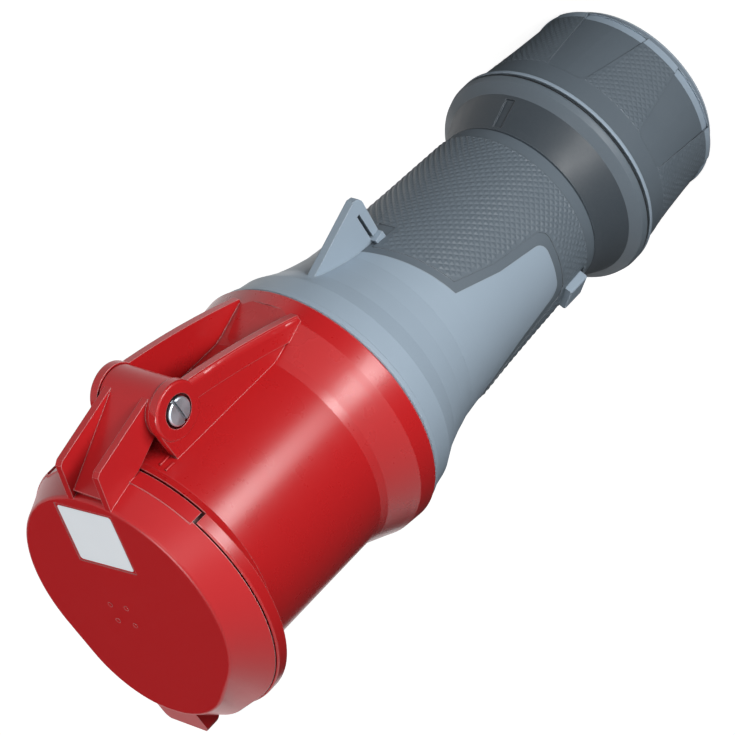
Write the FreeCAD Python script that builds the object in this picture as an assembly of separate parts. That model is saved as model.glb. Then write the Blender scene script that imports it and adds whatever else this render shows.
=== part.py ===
"""Five pole industrial cable coupler with a sprung hinged lid, modelled in millimetres.

The coupler stands on the rear face of its cable gland. The origin is the centre of the
cable entry, +Z runs along the axis to the lid and the hinge lies towards -Y.
"""

import FreeCAD
import Part
import math
import os

os.makedirs("parts", exist_ok=True)

V = FreeCAD.Vector
AXIS_X = V(1, 0, 0)
AXIS_Z = V(0, 0, 1)

# Stations along the axis
TOTAL_LENGTH = 280.0
LID_DEPTH = 12.0
LID_GAP = 0.5
JOINT_Z = 181.0
JOINT_GAP = 0.4
SOCKET_DEPTH = 59.0
COLLAR_REAR_Z = 49.2
COLLAR_EDGE_Z = 52.2
COLLAR_CREASE_Z = 54.8
GRIP_END_Z = 68.0
NUT_GAP = 1.0

# Front housing
BODY_RADIUS = 42.4
SOCKET_RADIUS = 38.8
SPIGOT_BORE_RADIUS = 40.5
FLARE_RADIUS = 48.5
FLARE_BAND = 7.5
FLARE_LENGTH = 22.0
RIM_RADIUS = 49.3
RIM_HEIGHT = 4.4
RIM_SLOPE = 5.0
KEYWAY_WIDTH = 8.0
KEYWAY_DEPTH = 2.0

# Lid
EGG_OFFSET = 4.5
LID_FACE_RADIUS = 41.0
LID_FACE_CHIN_RADIUS = 34.0
LID_FACE_CHIN_OFFSET = 14.0
LID_SKIRT_RADIUS = 48.6
LID_SKIRT_CHIN_RADIUS = 30.0
LID_SKIRT_CHIN_OFFSET = 29.0
LID_WALL = 3.0
LID_EDGE_ROUND = 1.5
TAB_HALF_WIDTH = 9.2
TAB_REACH = 60.4
TAB_THICKNESS = 4.2
TAB_DROP = 5.0
APRON_HALF_ANGLE = 43.0
APRON_LENGTH = 4.6
APRON_CLEARANCE = 0.3
GASKET_INNER_RADIUS = 39.4
GASKET_WIDTH = 2.8
GASKET_DEPTH = 3.0
GASKET_CLEARANCE = 0.3
LABEL_WIDTH = 25.4
LABEL_HEIGHT = 23.7
LABEL_X = 3.5
LABEL_Y = -24.8
LABEL_DEPTH = 0.25
LABEL_TURN = 4.5

# Hinge
PIN_Y = -54.8
PIN_Z = 245.8
PIN_RADIUS = 3.0
PIN_CLEARANCE = 0.08
EAR_RADIUS = 9.9
EAR_INNER_X = 11.0
EAR_THICKNESS = 3.5
EAR_EDGE_ROUND = 0.9
FOOT_RISE = 6.0
WEB_STEP = 0.8
BEAM_HEIGHT = 7.6
BEAM_SHOULDER = 2.6
BEAM_REAR_Z = 187.5
POCKET_DEPTH = 0.7
HEAD_RADIUS = 4.8
HEAD_HEIGHT = 2.2
HEAD_SINK = 1.4
HEAD_CLEARANCE = 1.0
SLOT_WIDTH = 1.3
SLOT_DEPTH = 1.1
NUT_ACROSS_FLATS = 10.0
NUT_HEIGHT = 2.6
HEAD_SLOT_ANGLE = 76.0
BARREL_RADIUS = 9.4
BARREL_CLEARANCE = 0.4
RIB_OUTER_X = 9.2
RIB_THICKNESS = 2.6
PANEL_THICKNESS = 2.4
SPRING_WIRE = 1.4
SPRING_RADIUS = 5.6
SPRING_TURNS = 4.515
SPRING_PITCH = 1.55
SPRING_STEPS = 12
SPRING_LEG = 10.0
SPRING_FOOT = 13.0
SPRING_LEG_ANGLE = 54.7
SPRING_CHAMBER_HALF = 5.4
SPRING_CHAMBER_RADIUS = 7.2

# Contacts
CARRIER_RADIUS = 32.6
CARRIER_RECESS = 2.6
CARRIER_FLANGE_RADIUS = 40.2
CARRIER_FLANGE = 4.0
CARRIER_REAR_RADIUS = 31.5
CARRIER_REAR_LENGTH = 17.0
PITCH_RADIUS = 20.0
POLE_COUNT = 5
PHASE_BORE = 8.2
EARTH_BORE = 10.2
PILOT_BORE = 6.2
SLEEVE_WALL = 1.5
SLEEVE_CLEARANCE = 0.25
TERMINAL_WALL = 2.4
TERMINAL_LENGTH = 15.0
SLEEVE_FRONT_SETBACK = 7.0
SLEEVE_SLIT = 0.8
SLEEVE_SLIT_LENGTH = 26.0
MOUTH_CLEARANCE = 0.3
TERMINAL_SCREW_RADIUS = 2.5
TERMINAL_SCREW_LENGTH = 6.0
PLATE_THICKNESS = 3.0
PLATE_SCREW_COUNT = 3
PLATE_SCREW_RADIUS = 1.5
PLATE_SCREW_PITCH = 27.0
PLATE_SCREW_LENGTH = 30.0

# Rear housing and its soft grip
REAR_RIM_RADIUS = 47.6
GREY_WALL = 4.2
GRIP_THICKNESS = 1.8
SPIGOT_RADIUS = 40.2
SPIGOT_WALL = 3.0
SPIGOT_TIP_GAP = 0.3
LUG_COUNT = 3
LUG_HEIGHT = 3.0
LUG_LENGTH = 4.0
LUG_ANGLE = 30.0
LUG_CLEARANCE = 0.4
LUG_Z = 186.0
RING_SEAL_RADIUS = 1.05
RING_SEAL_Z = 197.0
FIN_THICKNESS = 3.0
FIN_PEAK_ROUND = 0.6
FIN_SLOT_WIDTH = 1.3
FIN_SLOT_LENGTH = 13.0
FIN_STRIP = 2.8
FIN_FOOT_WIDTH = 7.6
FIN_FOOT_LENGTH = 4.4
FIN_FOOT_HEIGHT = 3.4
ROOF_Z = 143.3
ROOF_SLOPE = 0.3
TONGUE_TIP_Z = 91.5
TONGUE_TIP_HALF = 10.6
TONGUE_ROOT_Z = 134.4
TONGUE_ROOT_HALF = 20.4
TONGUE_WAIST_Z = 114.0
TONGUE_WAIST_HALF = 14.6
TONGUE_CORNER = 5.0
COLLAR_RADIUS = 42.0
COLLAR_CREASE_RADIUS = 37.8
COLLAR_NOTCH_WIDTH = 4.0
COLLAR_NOTCH_DEPTH = 0.8
FIELD_RISE = 0.35
FIELD_MARGIN = 3.2
FIELD_LOW_Z = 73.0
FIELD_FIN_MARGIN = 2.0
FIELD_FIN_Z = 127.0

# Small locking slide beside the collar
LOCK_ANGLE = -122.0
LOCK_WIDTH = 10.0
LOCK_LENGTH = 9.5
LOCK_Z = 77.0
LOCK_TOP_RADIUS = 36.2
LOCK_FLOOR_RADIUS = 29.8
LOCK_CLEARANCE = 0.3
LOCK_FRONT_GAP = 1.4
LOCK_REAR_GAP = 2.3

# Cable gland
THREAD_RADIUS = 35.4
THREAD_CLEARANCE = 0.4
THREAD_END_Z = 15.0
GLAND_BORE_RADIUS = 31.0
SEAL_BORE_RADIUS = 18.5
SEAL_SEAT_Z = 60.0
SEAL_LENGTH = 26.0
SEAL_CLEARANCE = 0.1
CAGE_LENGTH = 17.0
CAGE_WALL = 3.0
CLAW_COUNT = 12
CLAW_SLIT = 2.6
CLAW_LEAN = 4.5
NUT_OPENING_RADIUS = 24.0
NUT_END_WALL = 6.0
NUT_RING = 1.3
NUT_RING_RADIUS = 42.0
NUT_END_CONE = 4.8
NUT_END_RADIUS = 33.5
NUT_GRIP_FRONT_RADIUS = 40.8
NUT_GRIP_REAR_RADIUS = 37.9
NUT_GRIP_THICKNESS = 2.2
NUT_FIELD_COUNT = 6
NUT_FIELD_STEP = 0.22
NUT_FIELD_DEPTH = 0.75
NUT_FIELD_PHASE = -74.4
NUT_FIELD_REAR_HALF = 12.6
NUT_FIELD_FRONT_HALF = 7.5
NUT_FIELD_FRONT_Z = 37.5
NUT_FIELD_CORNER = 3.0
SLIP_RING_THICKNESS = 3.0
SLIP_RING_GAP = 0.9
SLIP_RING_CLEARANCE = 0.3

# Values that follow from the sizes above
LID_REAR_Z = TOTAL_LENGTH - LID_DEPTH + LID_GAP / 2
RIM_Z = LID_REAR_Z - LID_GAP
SOCKET_FLOOR_Z = RIM_Z - SOCKET_DEPTH
CARRIER_FACE_Z = RIM_Z - CARRIER_RECESS
EAR_OUTER_X = EAR_INNER_X + EAR_THICKNESS
BARREL_HALF = EAR_INNER_X - BARREL_CLEARANCE
NUT_FRONT_Z = COLLAR_REAR_Z - NUT_GAP
PLATE_Z = SOCKET_FLOOR_Z - CARRIER_FLANGE - CARRIER_REAR_LENGTH


def revolve(points, angle=360):
    """Turn an (r, z) outline round the axis."""
    wire = Part.makePolygon([V(r, 0, z) for r, z in points + points[:1]])
    return Part.Face(wire).revolve(V(0, 0, 0), AXIS_Z, angle)


def ring(outer, inner, z_low, z_high):
    """Plain ring between two radii and two stations."""
    return revolve([(inner, z_low), (outer, z_low), (outer, z_high), (inner, z_high)])


def disc(radius, z_low, z_high):
    """Plain cylinder on the axis."""
    return Part.makeCylinder(radius, z_high - z_low, V(0, 0, z_low))


def sector(outer, inner, z_low, z_high, middle, half):
    """Part of a ring, centred on an angle counted from -Y towards +X."""
    start = V(inner, 0, z_low)
    outline = [start, V(outer, 0, z_low), V(outer, 0, z_high), V(inner, 0, z_high), start]
    face = Part.Face(Part.makePolygon(outline))
    solid = face.revolve(V(0, 0, 0), AXIS_Z, 2 * half)
    solid.rotate(V(0, 0, 0), AXIS_Z, middle - 90 - half)
    return solid


def slab(outline, x_low, x_high):
    """Extrude a closed list of edges in the Y-Z plane along X."""
    face = Part.Face(Part.Wire(outline))
    face.translate(V(x_low, 0, 0))
    return face.extrude(V(x_high - x_low, 0, 0))


def polygon_slab(points, x_low, x_high):
    """Extrude a (y, z) polygon along X."""
    corners = [V(0, y, z) for y, z in points]
    return slab(Part.makePolygon(corners + corners[:1]).Edges, x_low, x_high)


def cross_cylinder(radius, x_low, x_high, y=PIN_Y, z=PIN_Z):
    """Cylinder parallel to the hinge pin."""
    return Part.makeCylinder(radius, x_high - x_low, V(x_low, y, z), AXIS_X)


def turned(shape, angle):
    """Copy of a shape turned round the axis."""
    copy = shape.copy()
    copy.rotate(V(0, 0, 0), AXIS_Z, angle)
    return copy


def fuse_all(shapes):
    """One solid from several that meet."""
    return shapes[0].multiFuse(shapes[1:]).removeSplitter()


def egg_wire(radius, offset, chin_radius, chin_offset, z):
    """Outline round a main circle and a smaller chin circle, joined by tangents."""
    lean = math.acos((radius - chin_radius) / (chin_offset - offset))
    side, along = math.sin(lean), math.cos(lean)
    main_right = V(radius * side, offset + radius * along, z)
    main_left = V(-radius * side, offset + radius * along, z)
    chin_right = V(chin_radius * side, chin_offset + chin_radius * along, z)
    chin_left = V(-chin_radius * side, chin_offset + chin_radius * along, z)
    back = Part.Arc(main_left, V(0, offset - radius, z), main_right).toShape()
    right = Part.LineSegment(main_right, chin_right).toShape()
    chin = Part.Arc(chin_right, V(0, chin_offset + chin_radius, z), chin_left).toShape()
    left = Part.LineSegment(chin_left, main_left).toShape()
    return Part.Wire([back, right, chin, left])


def lid_face_wire(z, inset=0.0):
    """Outline of the lid's front face."""
    return egg_wire(LID_FACE_RADIUS - inset, 0, LID_FACE_CHIN_RADIUS - inset, LID_FACE_CHIN_OFFSET, z)


def lid_skirt_wire(z):
    """Outline of the lid's skirt at its rear edge."""
    return egg_wire(LID_SKIRT_RADIUS, EGG_OFFSET, LID_SKIRT_CHIN_RADIUS, LID_SKIRT_CHIN_OFFSET, z)


def save(name, shape):
    """Write one named piece to its own file."""
    shape.exportStep("parts/" + name + ".step")
    print(name, "solids", len(shape.Solids), "valid", shape.isValid(), "volume", round(shape.Volume))


# Front housing with its hinge arms

def arm_crest():
    """Slightly bulging upper edge of a hinge arm, from the ear down to the flare."""
    ear_end = V(0, PIN_Y - 0.62 * EAR_RADIUS, PIN_Z - 0.785 * EAR_RADIUS)
    rear_end = V(0, -(FLARE_RADIUS - 0.6), BEAM_REAR_Z)
    middle = (ear_end + rear_end) * 0.5 + V(0, -1.0, 0)
    return Part.Arc(ear_end, middle, rear_end).toShape()


def arm_outline():
    """Side view of the web: tangent to the ear in front, along the crest to the flare."""
    crest = arm_crest()
    ear_end, rear_end = crest.Vertexes[0].Point, crest.Vertexes[-1].Point
    root_y = -(SOCKET_RADIUS + 0.5)
    pin = V(0, PIN_Y, PIN_Z)
    front_foot = V(0, root_y, PIN_Z + FOOT_RISE)
    reach = front_foot - pin
    lean = math.atan2(reach.z, reach.y) + math.acos(EAR_RADIUS / reach.Length)
    front_end = pin + V(0, math.cos(lean), math.sin(lean)) * EAR_RADIUS
    rear_foot = V(0, root_y, rear_end.z)
    corners = [rear_end, rear_foot, front_foot, front_end, pin, ear_end]
    return [Part.LineSegment(a, b).toShape() for a, b in zip(corners, corners[1:])] + [crest]


def beam_outline():
    """Side view of the thicker beam along the top of an arm."""
    crest = arm_crest()
    low = crest.copy()
    low.translate(V(0, BEAM_HEIGHT, 0))
    front = Part.LineSegment(crest.Vertexes[0].Point, low.Vertexes[0].Point).toShape()
    rear = Part.LineSegment(crest.Vertexes[-1].Point, low.Vertexes[-1].Point).toShape()
    return [front, crest, rear, low]


def hinge_arm():
    """The -X arm: a thin web, a beam with a round shoulder and a round ear."""
    web = slab(arm_outline(), -EAR_OUTER_X + WEB_STEP, -EAR_INNER_X)
    beam = slab(beam_outline(), -EAR_OUTER_X, -EAR_INNER_X)
    outer_edges = [e for e in beam.Edges if abs(e.CenterOfMass.x + EAR_OUTER_X) < 0.01]
    crest = min([e for e in outer_edges if e.BoundBox.ZLength > 20], key=lambda e: e.CenterOfMass.y)
    beam = beam.makeFillet(BEAM_SHOULDER, [crest])
    ear = cross_cylinder(EAR_RADIUS, -EAR_OUTER_X, -EAR_INNER_X)
    outer_rim = [e for e in ear.Edges if abs(e.CenterOfMass.x + EAR_OUTER_X) < 0.01]
    return fuse_all([web, beam, ear.makeFillet(EAR_EDGE_ROUND, outer_rim)])


def pin_cuts():
    """Pin hole, recess for the head on -X and pocket for the nut on +X."""
    hole = cross_cylinder(PIN_RADIUS + PIN_CLEARANCE, -EAR_OUTER_X - 1, EAR_OUTER_X + 1)
    recess_x = -EAR_OUTER_X + HEAD_SINK
    recess = cross_cylinder(HEAD_RADIUS + HEAD_CLEARANCE, -EAR_OUTER_X - 1, recess_x)
    pocket = hex_prism(NUT_ACROSS_FLATS + 0.2, EAR_OUTER_X - NUT_HEIGHT - 0.2, EAR_OUTER_X + 1)
    return [hole, recess, pocket]


def hex_prism(across_flats, x_low, x_high):
    """Hexagon prism on the hinge pin's axis."""
    corner = across_flats / math.sqrt(3)
    angles = [math.radians(60 * i + 30) for i in range(6)]
    points = [(PIN_Y + corner * math.cos(a), PIN_Z + corner * math.sin(a)) for a in angles]
    return polygon_slab(points, x_low, x_high)


def rim_flange():
    """Offset flange round the socket's mouth, blended into the body."""
    low_circle = Part.Wire(Part.makeCircle(BODY_RADIUS - 0.5, V(0, 0, RIM_Z - RIM_HEIGHT - RIM_SLOPE)))
    high_circle = Part.Wire(Part.makeCircle(RIM_RADIUS, V(0, EGG_OFFSET, RIM_Z - RIM_HEIGHT)))
    slope = Part.makeLoft([low_circle, high_circle], True, True)
    band = Part.makeCylinder(RIM_RADIUS, RIM_HEIGHT, V(0, EGG_OFFSET, RIM_Z - RIM_HEIGHT))
    band = band.makeFillet(0.7, [e for e in band.Edges if abs(e.BoundBox.ZMin - RIM_Z) < 0.01])
    return [slope, band]


def lug_slots():
    """Bayonet groove inside the flare, with its three entry slots."""
    floor = SPIGOT_RADIUS + LUG_HEIGHT + LUG_CLEARANCE
    low, high = LUG_Z - LUG_CLEARANCE, LUG_Z + LUG_LENGTH + LUG_CLEARANCE
    cuts = [ring(floor, SPIGOT_BORE_RADIUS - 1, low, high)]
    for i in range(LUG_COUNT):
        middle = 180 + 60 + i * 360 / LUG_COUNT
        half = LUG_ANGLE / 2 + 2
        cuts.append(sector(floor, SPIGOT_BORE_RADIUS - 1, JOINT_Z - 1, high, middle, half))
    return cuts


def front_housing():
    """Red moulding with the socket, rim flange, rear flare and hinge arms."""
    band_top = JOINT_Z + FLARE_BAND
    flare_top = JOINT_Z + FLARE_LENGTH
    outer = revolve([
        (0, JOINT_Z), (FLARE_RADIUS - 0.5, JOINT_Z), (FLARE_RADIUS, JOINT_Z + 0.6),
        (FLARE_RADIUS - 0.7, band_top), (FLARE_RADIUS - 1.8, band_top + 2.6),
        (BODY_RADIUS + 0.8, flare_top - 3), (BODY_RADIUS, flare_top), (BODY_RADIUS, RIM_Z), (0, RIM_Z),
    ])
    notch_z = RIM_Z - APRON_LENGTH + LID_GAP
    notch = sector(RIM_RADIUS * 2, BODY_RADIUS, notch_z - 0.6, RIM_Z + 1, 0, APRON_HALF_ANGLE + 1.5)
    rim = fuse_all(rim_flange()).cut(notch)
    half = EAR_INNER_X
    pocket = polygon_slab([
        (-(FLARE_RADIUS + 2), JOINT_Z + 5.5), (-(FLARE_RADIUS - POCKET_DEPTH - 0.2), JOINT_Z + 5.5),
        (-(FLARE_RADIUS - POCKET_DEPTH - 1.0), band_top), (-(FLARE_RADIUS - POCKET_DEPTH - 2.1), band_top + 2.6),
        (-(BODY_RADIUS + 0.8 - POCKET_DEPTH), flare_top - 3), (-(BODY_RADIUS - 0.1), flare_top),
        (-(FLARE_RADIUS + 2), flare_top),
    ], -half, half)
    arm = hinge_arm()
    body = fuse_all([outer.cut(pocket), rim, arm, arm.mirror(V(0, 0, 0), AXIS_X)])
    socket = disc(SOCKET_RADIUS, SOCKET_FLOOR_Z, RIM_Z + 1)
    spigot = disc(SPIGOT_BORE_RADIUS, JOINT_Z - 1, SOCKET_FLOOR_Z)
    key_box = Part.makeBox(KEYWAY_WIDTH, SOCKET_RADIUS + 2 * KEYWAY_DEPTH, RIM_Z + 1 - SOCKET_FLOOR_Z,
                           V(-KEYWAY_WIDTH / 2, 0, SOCKET_FLOOR_Z + 1))
    keyway = key_box.common(disc(SOCKET_RADIUS + KEYWAY_DEPTH, SOCKET_FLOOR_Z, RIM_Z + 2))
    body = body.cut(fuse_all([socket, spigot, keyway]))
    for tool in lug_slots() + pin_cuts():
        body = body.cut(tool)
    return body.removeSplitter()


# Lid with its channel-shaped arm

def lid_shell():
    """Cap of the lid: egg outline, sloping skirt and rounded front edge."""
    edge = LID_EDGE_ROUND
    skirt = Part.makeLoft([lid_skirt_wire(LID_REAR_Z), lid_face_wire(TOTAL_LENGTH)], True, True)
    front = [e for e in skirt.Edges if e.BoundBox.ZMin > TOTAL_LENGTH - 0.01]
    return skirt.makeFillet(edge, front)


def lid_tab():
    """Finger tab below the lid, sloping away from the face."""
    face_y = LID_FACE_CHIN_OFFSET + LID_FACE_CHIN_RADIUS - 6
    points = [
        (face_y, TOTAL_LENGTH - 0.4), (TAB_REACH - 1.0, TOTAL_LENGTH - TAB_DROP),
        (TAB_REACH, TOTAL_LENGTH - TAB_DROP - 1.2), (TAB_REACH, TOTAL_LENGTH - TAB_DROP - TAB_THICKNESS),
        (TAB_REACH - 4, LID_REAR_Z + 0.6), (face_y, LID_REAR_Z + 2),
    ]
    tab = polygon_slab(points, -TAB_HALF_WIDTH, TAB_HALF_WIDTH)
    tip = [e for e in tab.Edges if e.BoundBox.XLength < 0.01 and e.BoundBox.YMin > TAB_REACH - 0.1]
    return tab.makeFillet(4.0, tip)


def lid_apron():
    """Extra length of skirt on the hinge side, lying over the housing."""
    low = LID_REAR_Z - APRON_LENGTH
    solid = Part.Face(lid_skirt_wire(low)).extrude(V(0, 0, APRON_LENGTH + 1.0))
    inner = BODY_RADIUS + APRON_CLEARANCE
    return solid.common(sector(RIM_RADIUS * 2, inner, low, LID_REAR_Z + 1.0, 0, APRON_HALF_ANGLE))


def rib_points():
    """Side view of a rib, from the lid's face to the barrel."""
    return [
        (-(LID_FACE_RADIUS - 3), TOTAL_LENGTH - 0.2), (PIN_Y + 1.6, TOTAL_LENGTH - 0.2),
        (PIN_Y + 0.2, TOTAL_LENGTH - 1.6), (PIN_Y - 0.82 * BARREL_RADIUS, PIN_Z + 0.57 * BARREL_RADIUS),
        (PIN_Y, PIN_Z), (PIN_Y + 0.55 * BARREL_RADIUS, PIN_Z + 0.83 * BARREL_RADIUS),
        (-(BODY_RADIUS + 1.5), LID_REAR_Z - APRON_LENGTH + 0.6), (-(BODY_RADIUS + 0.5), LID_REAR_Z + 0.2),
        (-(LID_FACE_RADIUS - 3), LID_REAR_Z + 1),
    ]


def panel_points():
    """Side view of the sunken panel between the ribs."""
    top = (PIN_Y - 0.92 * BARREL_RADIUS, PIN_Z + 0.39 * BARREL_RADIUS)
    foot = (-(LID_FACE_RADIUS + 1.8), TOTAL_LENGTH - 1.4)
    return [
        foot, top, (top[0] + PANEL_THICKNESS * 1.1, top[1] - 1.0),
        (foot[0] + 1.0, foot[1] - PANEL_THICKNESS * 2.2), (foot[0] + 5, foot[1] - 3),
    ]


def lid_arm():
    """Two ribs, the panel between them and the barrel round the pin."""
    spans = [sorted((side * RIB_OUTER_X, side * (RIB_OUTER_X - RIB_THICKNESS))) for side in (1, -1)]
    ribs = [polygon_slab(rib_points(), *span) for span in spans]
    panel = polygon_slab(panel_points(), -RIB_OUTER_X, RIB_OUTER_X)
    barrel = cross_cylinder(BARREL_RADIUS, -BARREL_HALF, BARREL_HALF)
    return ribs + [panel, barrel]


def spring_chamber():
    """Room for the spring in the barrel, open towards the housing."""
    half = SPRING_CHAMBER_HALF
    round_part = cross_cylinder(SPRING_CHAMBER_RADIUS, -half, half)
    clear = BARREL_RADIUS + 1
    lean = math.radians(SPRING_LEG_ANGLE)
    corner = (PIN_Y - SPRING_CHAMBER_RADIUS * math.sin(lean), PIN_Z + SPRING_CHAMBER_RADIUS * math.cos(lean))
    far = (corner[0] + SPRING_LEG * math.cos(lean), corner[1] + SPRING_LEG * math.sin(lean))
    gate = [
        corner, far, (PIN_Y + clear, far[1]), (PIN_Y + clear, PIN_Z - clear),
        (PIN_Y - 4.0, PIN_Z - clear), (PIN_Y - 4.0, PIN_Z),
    ]
    return [round_part, polygon_slab(gate, -half, half)]


def chin_pocket():
    """Hollow behind the chin, outside the wall that carries the gasket."""
    low, top = LID_REAR_Z - 0.5, TOTAL_LENGTH - LID_WALL
    outline = egg_wire(LID_SKIRT_RADIUS - LID_WALL, EGG_OFFSET, LID_SKIRT_CHIN_RADIUS - LID_WALL,
                       LID_SKIRT_CHIN_OFFSET, low)
    hollow = Part.makeLoft([outline, lid_face_wire(top, LID_WALL)], True, True)
    gasket_wall = disc(GASKET_INNER_RADIUS + GASKET_WIDTH + 2.0, low - 1, top + 1)
    rear_half = Part.makeBox(200, 100, 40, V(-100, -100 + 12, low - 1))
    return hollow.cut(gasket_wall).cut(rear_half)


def label_recess():
    """Shallow square recess in the face for a sticker."""
    corner = V(-LABEL_WIDTH / 2, -LABEL_HEIGHT / 2, TOTAL_LENGTH - LABEL_DEPTH)
    box = Part.makeBox(LABEL_WIDTH, LABEL_HEIGHT, 1, corner)
    box.rotate(V(0, 0, 0), AXIS_Z, LABEL_TURN)
    box.translate(V(LABEL_X, LABEL_Y, 0))
    return box


def lid():
    """Red sprung lid in one moulding."""
    body = fuse_all([lid_shell(), lid_tab(), lid_apron()] + lid_arm())
    body = body.cut(chin_pocket())
    cavity = disc(GASKET_INNER_RADIUS - 1.4, LID_REAR_Z - 10, TOTAL_LENGTH - LID_WALL)
    groove = ring(GASKET_INNER_RADIUS + GASKET_WIDTH + 0.1, GASKET_INNER_RADIUS - 0.1,
                  LID_REAR_Z - 1, LID_REAR_Z + GASKET_DEPTH)
    cuts = [cavity, groove, cross_cylinder(PIN_RADIUS + PIN_CLEARANCE, -20, 20), label_recess()]
    for tool in cuts + spring_chamber():
        body = body.cut(tool)
    return body.removeSplitter()


def lid_gasket():
    """Rubber ring that closes on the socket's rim."""
    outer = GASKET_INNER_RADIUS + GASKET_WIDTH
    low, high = RIM_Z + GASKET_CLEARANCE, LID_REAR_Z + GASKET_DEPTH
    return revolve([
        (GASKET_INNER_RADIUS, high), (outer, high), (outer, low + 0.8), (outer - 0.7, low),
        (GASKET_INNER_RADIUS + 0.7, low), (GASKET_INNER_RADIUS, low + 0.8),
    ])


def hinge_pin():
    """Slotted screw that carries the lid."""
    head_x = -EAR_OUTER_X + HEAD_SINK
    head = cross_cylinder(HEAD_RADIUS, head_x - HEAD_HEIGHT, head_x)
    head = head.makeChamfer(0.4, [e for e in head.Edges if abs(e.BoundBox.XMax - head_x + HEAD_HEIGHT) < 0.01])
    slot = Part.makeBox(SLOT_DEPTH, SLOT_WIDTH, 4 * HEAD_RADIUS,
                        V(head_x - HEAD_HEIGHT, PIN_Y - SLOT_WIDTH / 2, PIN_Z - 2 * HEAD_RADIUS))
    slot.rotate(V(0, PIN_Y, PIN_Z), AXIS_X, HEAD_SLOT_ANGLE)
    shank = cross_cylinder(PIN_RADIUS, head_x, EAR_OUTER_X - 0.4)
    return head.cut(slot).fuse(shank).removeSplitter()


def hinge_nut():
    """Hexagon nut in the far ear."""
    nut = hex_prism(NUT_ACROSS_FLATS, EAR_OUTER_X - NUT_HEIGHT - 0.1, EAR_OUTER_X - 0.1)
    return nut.cut(cross_cylinder(PIN_RADIUS + 0.02, EAR_OUTER_X - 5, EAR_OUTER_X + 1))


def lid_spring():
    """Torsion spring round the pin: one leg under the lid's panel, one on the housing."""
    length = SPRING_TURNS * SPRING_PITCH
    steps = round(SPRING_TURNS * SPRING_STEPS)
    turns = [2 * math.pi * SPRING_TURNS * i / steps for i in range(steps + 1)]
    path = [V(SPRING_RADIUS * math.cos(t), SPRING_RADIUS * math.sin(t), SPRING_PITCH * t / 2 / math.pi)
            for t in turns]
    last = turns[-1]
    path.insert(0, path[0] + V(0, -SPRING_LEG, 0))
    path.append(path[-1] + V(-math.sin(last), math.cos(last), 0) * SPRING_FOOT)
    around = [math.radians(45 * i + 22.5) for i in range(9)]
    radius = SPRING_WIRE / 2
    profile = Part.makePolygon([path[0] + V(radius * math.cos(a), 0, radius * math.sin(a)) for a in around])
    spring = Part.makePolygon(path).makePipeShell([profile], True, True, 1)
    spring.translate(V(0, 0, -length / 2))
    spring.rotate(V(0, 0, 0), V(0, 1, 0), 90)
    spring.rotate(V(0, 0, 0), AXIS_X, SPRING_LEG_ANGLE - 180)
    spring.translate(V(0, PIN_Y, PIN_Z))
    return spring


# Contact insert

def pole_place(index):
    """Centre of one of the five outer contacts; the earth lies towards +Y."""
    angle = math.radians(90 + index * 360 / POLE_COUNT)
    return V(PITCH_RADIUS * math.cos(angle), PITCH_RADIUS * math.sin(angle), 0)


def pole_bore(index):
    """Pin size of a pole: the earth contact takes the thicker pin."""
    return EARTH_BORE if index == 0 else PHASE_BORE


def upright(radius, z_low, z_high, place):
    """Cylinder parallel to the axis at a given place."""
    return Part.makeCylinder(radius, z_high - z_low, V(place.x, place.y, z_low))


def contact_cavity(place, bore):
    """Mouth, sleeve chamber and terminal pocket for one contact."""
    sleeve_top = CARRIER_FACE_Z - SLEEVE_FRONT_SETBACK
    pocket_top = PLATE_Z + TERMINAL_LENGTH + 0.3
    mouth = upright(bore / 2 + MOUTH_CLEARANCE, sleeve_top - 1, CARRIER_FACE_Z + 1, place)
    chamber = upright(bore / 2 + SLEEVE_WALL + SLEEVE_CLEARANCE, PLATE_Z - 1, sleeve_top + 0.3, place)
    pocket = upright(bore / 2 + TERMINAL_WALL + SLEEVE_CLEARANCE, PLATE_Z - 1, pocket_top, place)
    return fuse_all([mouth, chamber, pocket])


def screw_window(place, bore):
    """Radial hole that lets a driver reach one terminal screw."""
    out = V(place.x, place.y, 0).normalize() if place.Length > 1 else V(0, -1, 0)
    start = V(place.x, place.y, PLATE_Z + TERMINAL_LENGTH / 2)
    return Part.makeCylinder(TERMINAL_SCREW_RADIUS + 0.5, CARRIER_FLANGE_RADIUS, start, out)


def plate_screw_places():
    """Centres of the screws that hold the rear plate."""
    angles = [math.radians(-90 + i * 360 / PLATE_SCREW_COUNT) for i in range(PLATE_SCREW_COUNT)]
    return [V(PLATE_SCREW_PITCH * math.cos(a), PLATE_SCREW_PITCH * math.sin(a), 0) for a in angles]


def contact_carrier():
    """Insulating front insert with the six contact chambers."""
    body = revolve([
        (0, SOCKET_FLOOR_Z), (CARRIER_RADIUS, SOCKET_FLOOR_Z), (CARRIER_RADIUS, CARRIER_FACE_Z - 1.0),
        (CARRIER_RADIUS - 1.0, CARRIER_FACE_Z), (0, CARRIER_FACE_Z),
    ])
    for index in range(POLE_COUNT):
        body = body.cut(contact_cavity(pole_place(index), pole_bore(index)))
    body = body.cut(contact_cavity(V(0, 0, 0), PILOT_BORE))
    for place in plate_screw_places():
        hole_top = PLATE_Z + PLATE_SCREW_LENGTH - 2
        body = body.cut(upright(PLATE_SCREW_RADIUS, SOCKET_FLOOR_Z - 1, hole_top, place))
    return body


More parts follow.
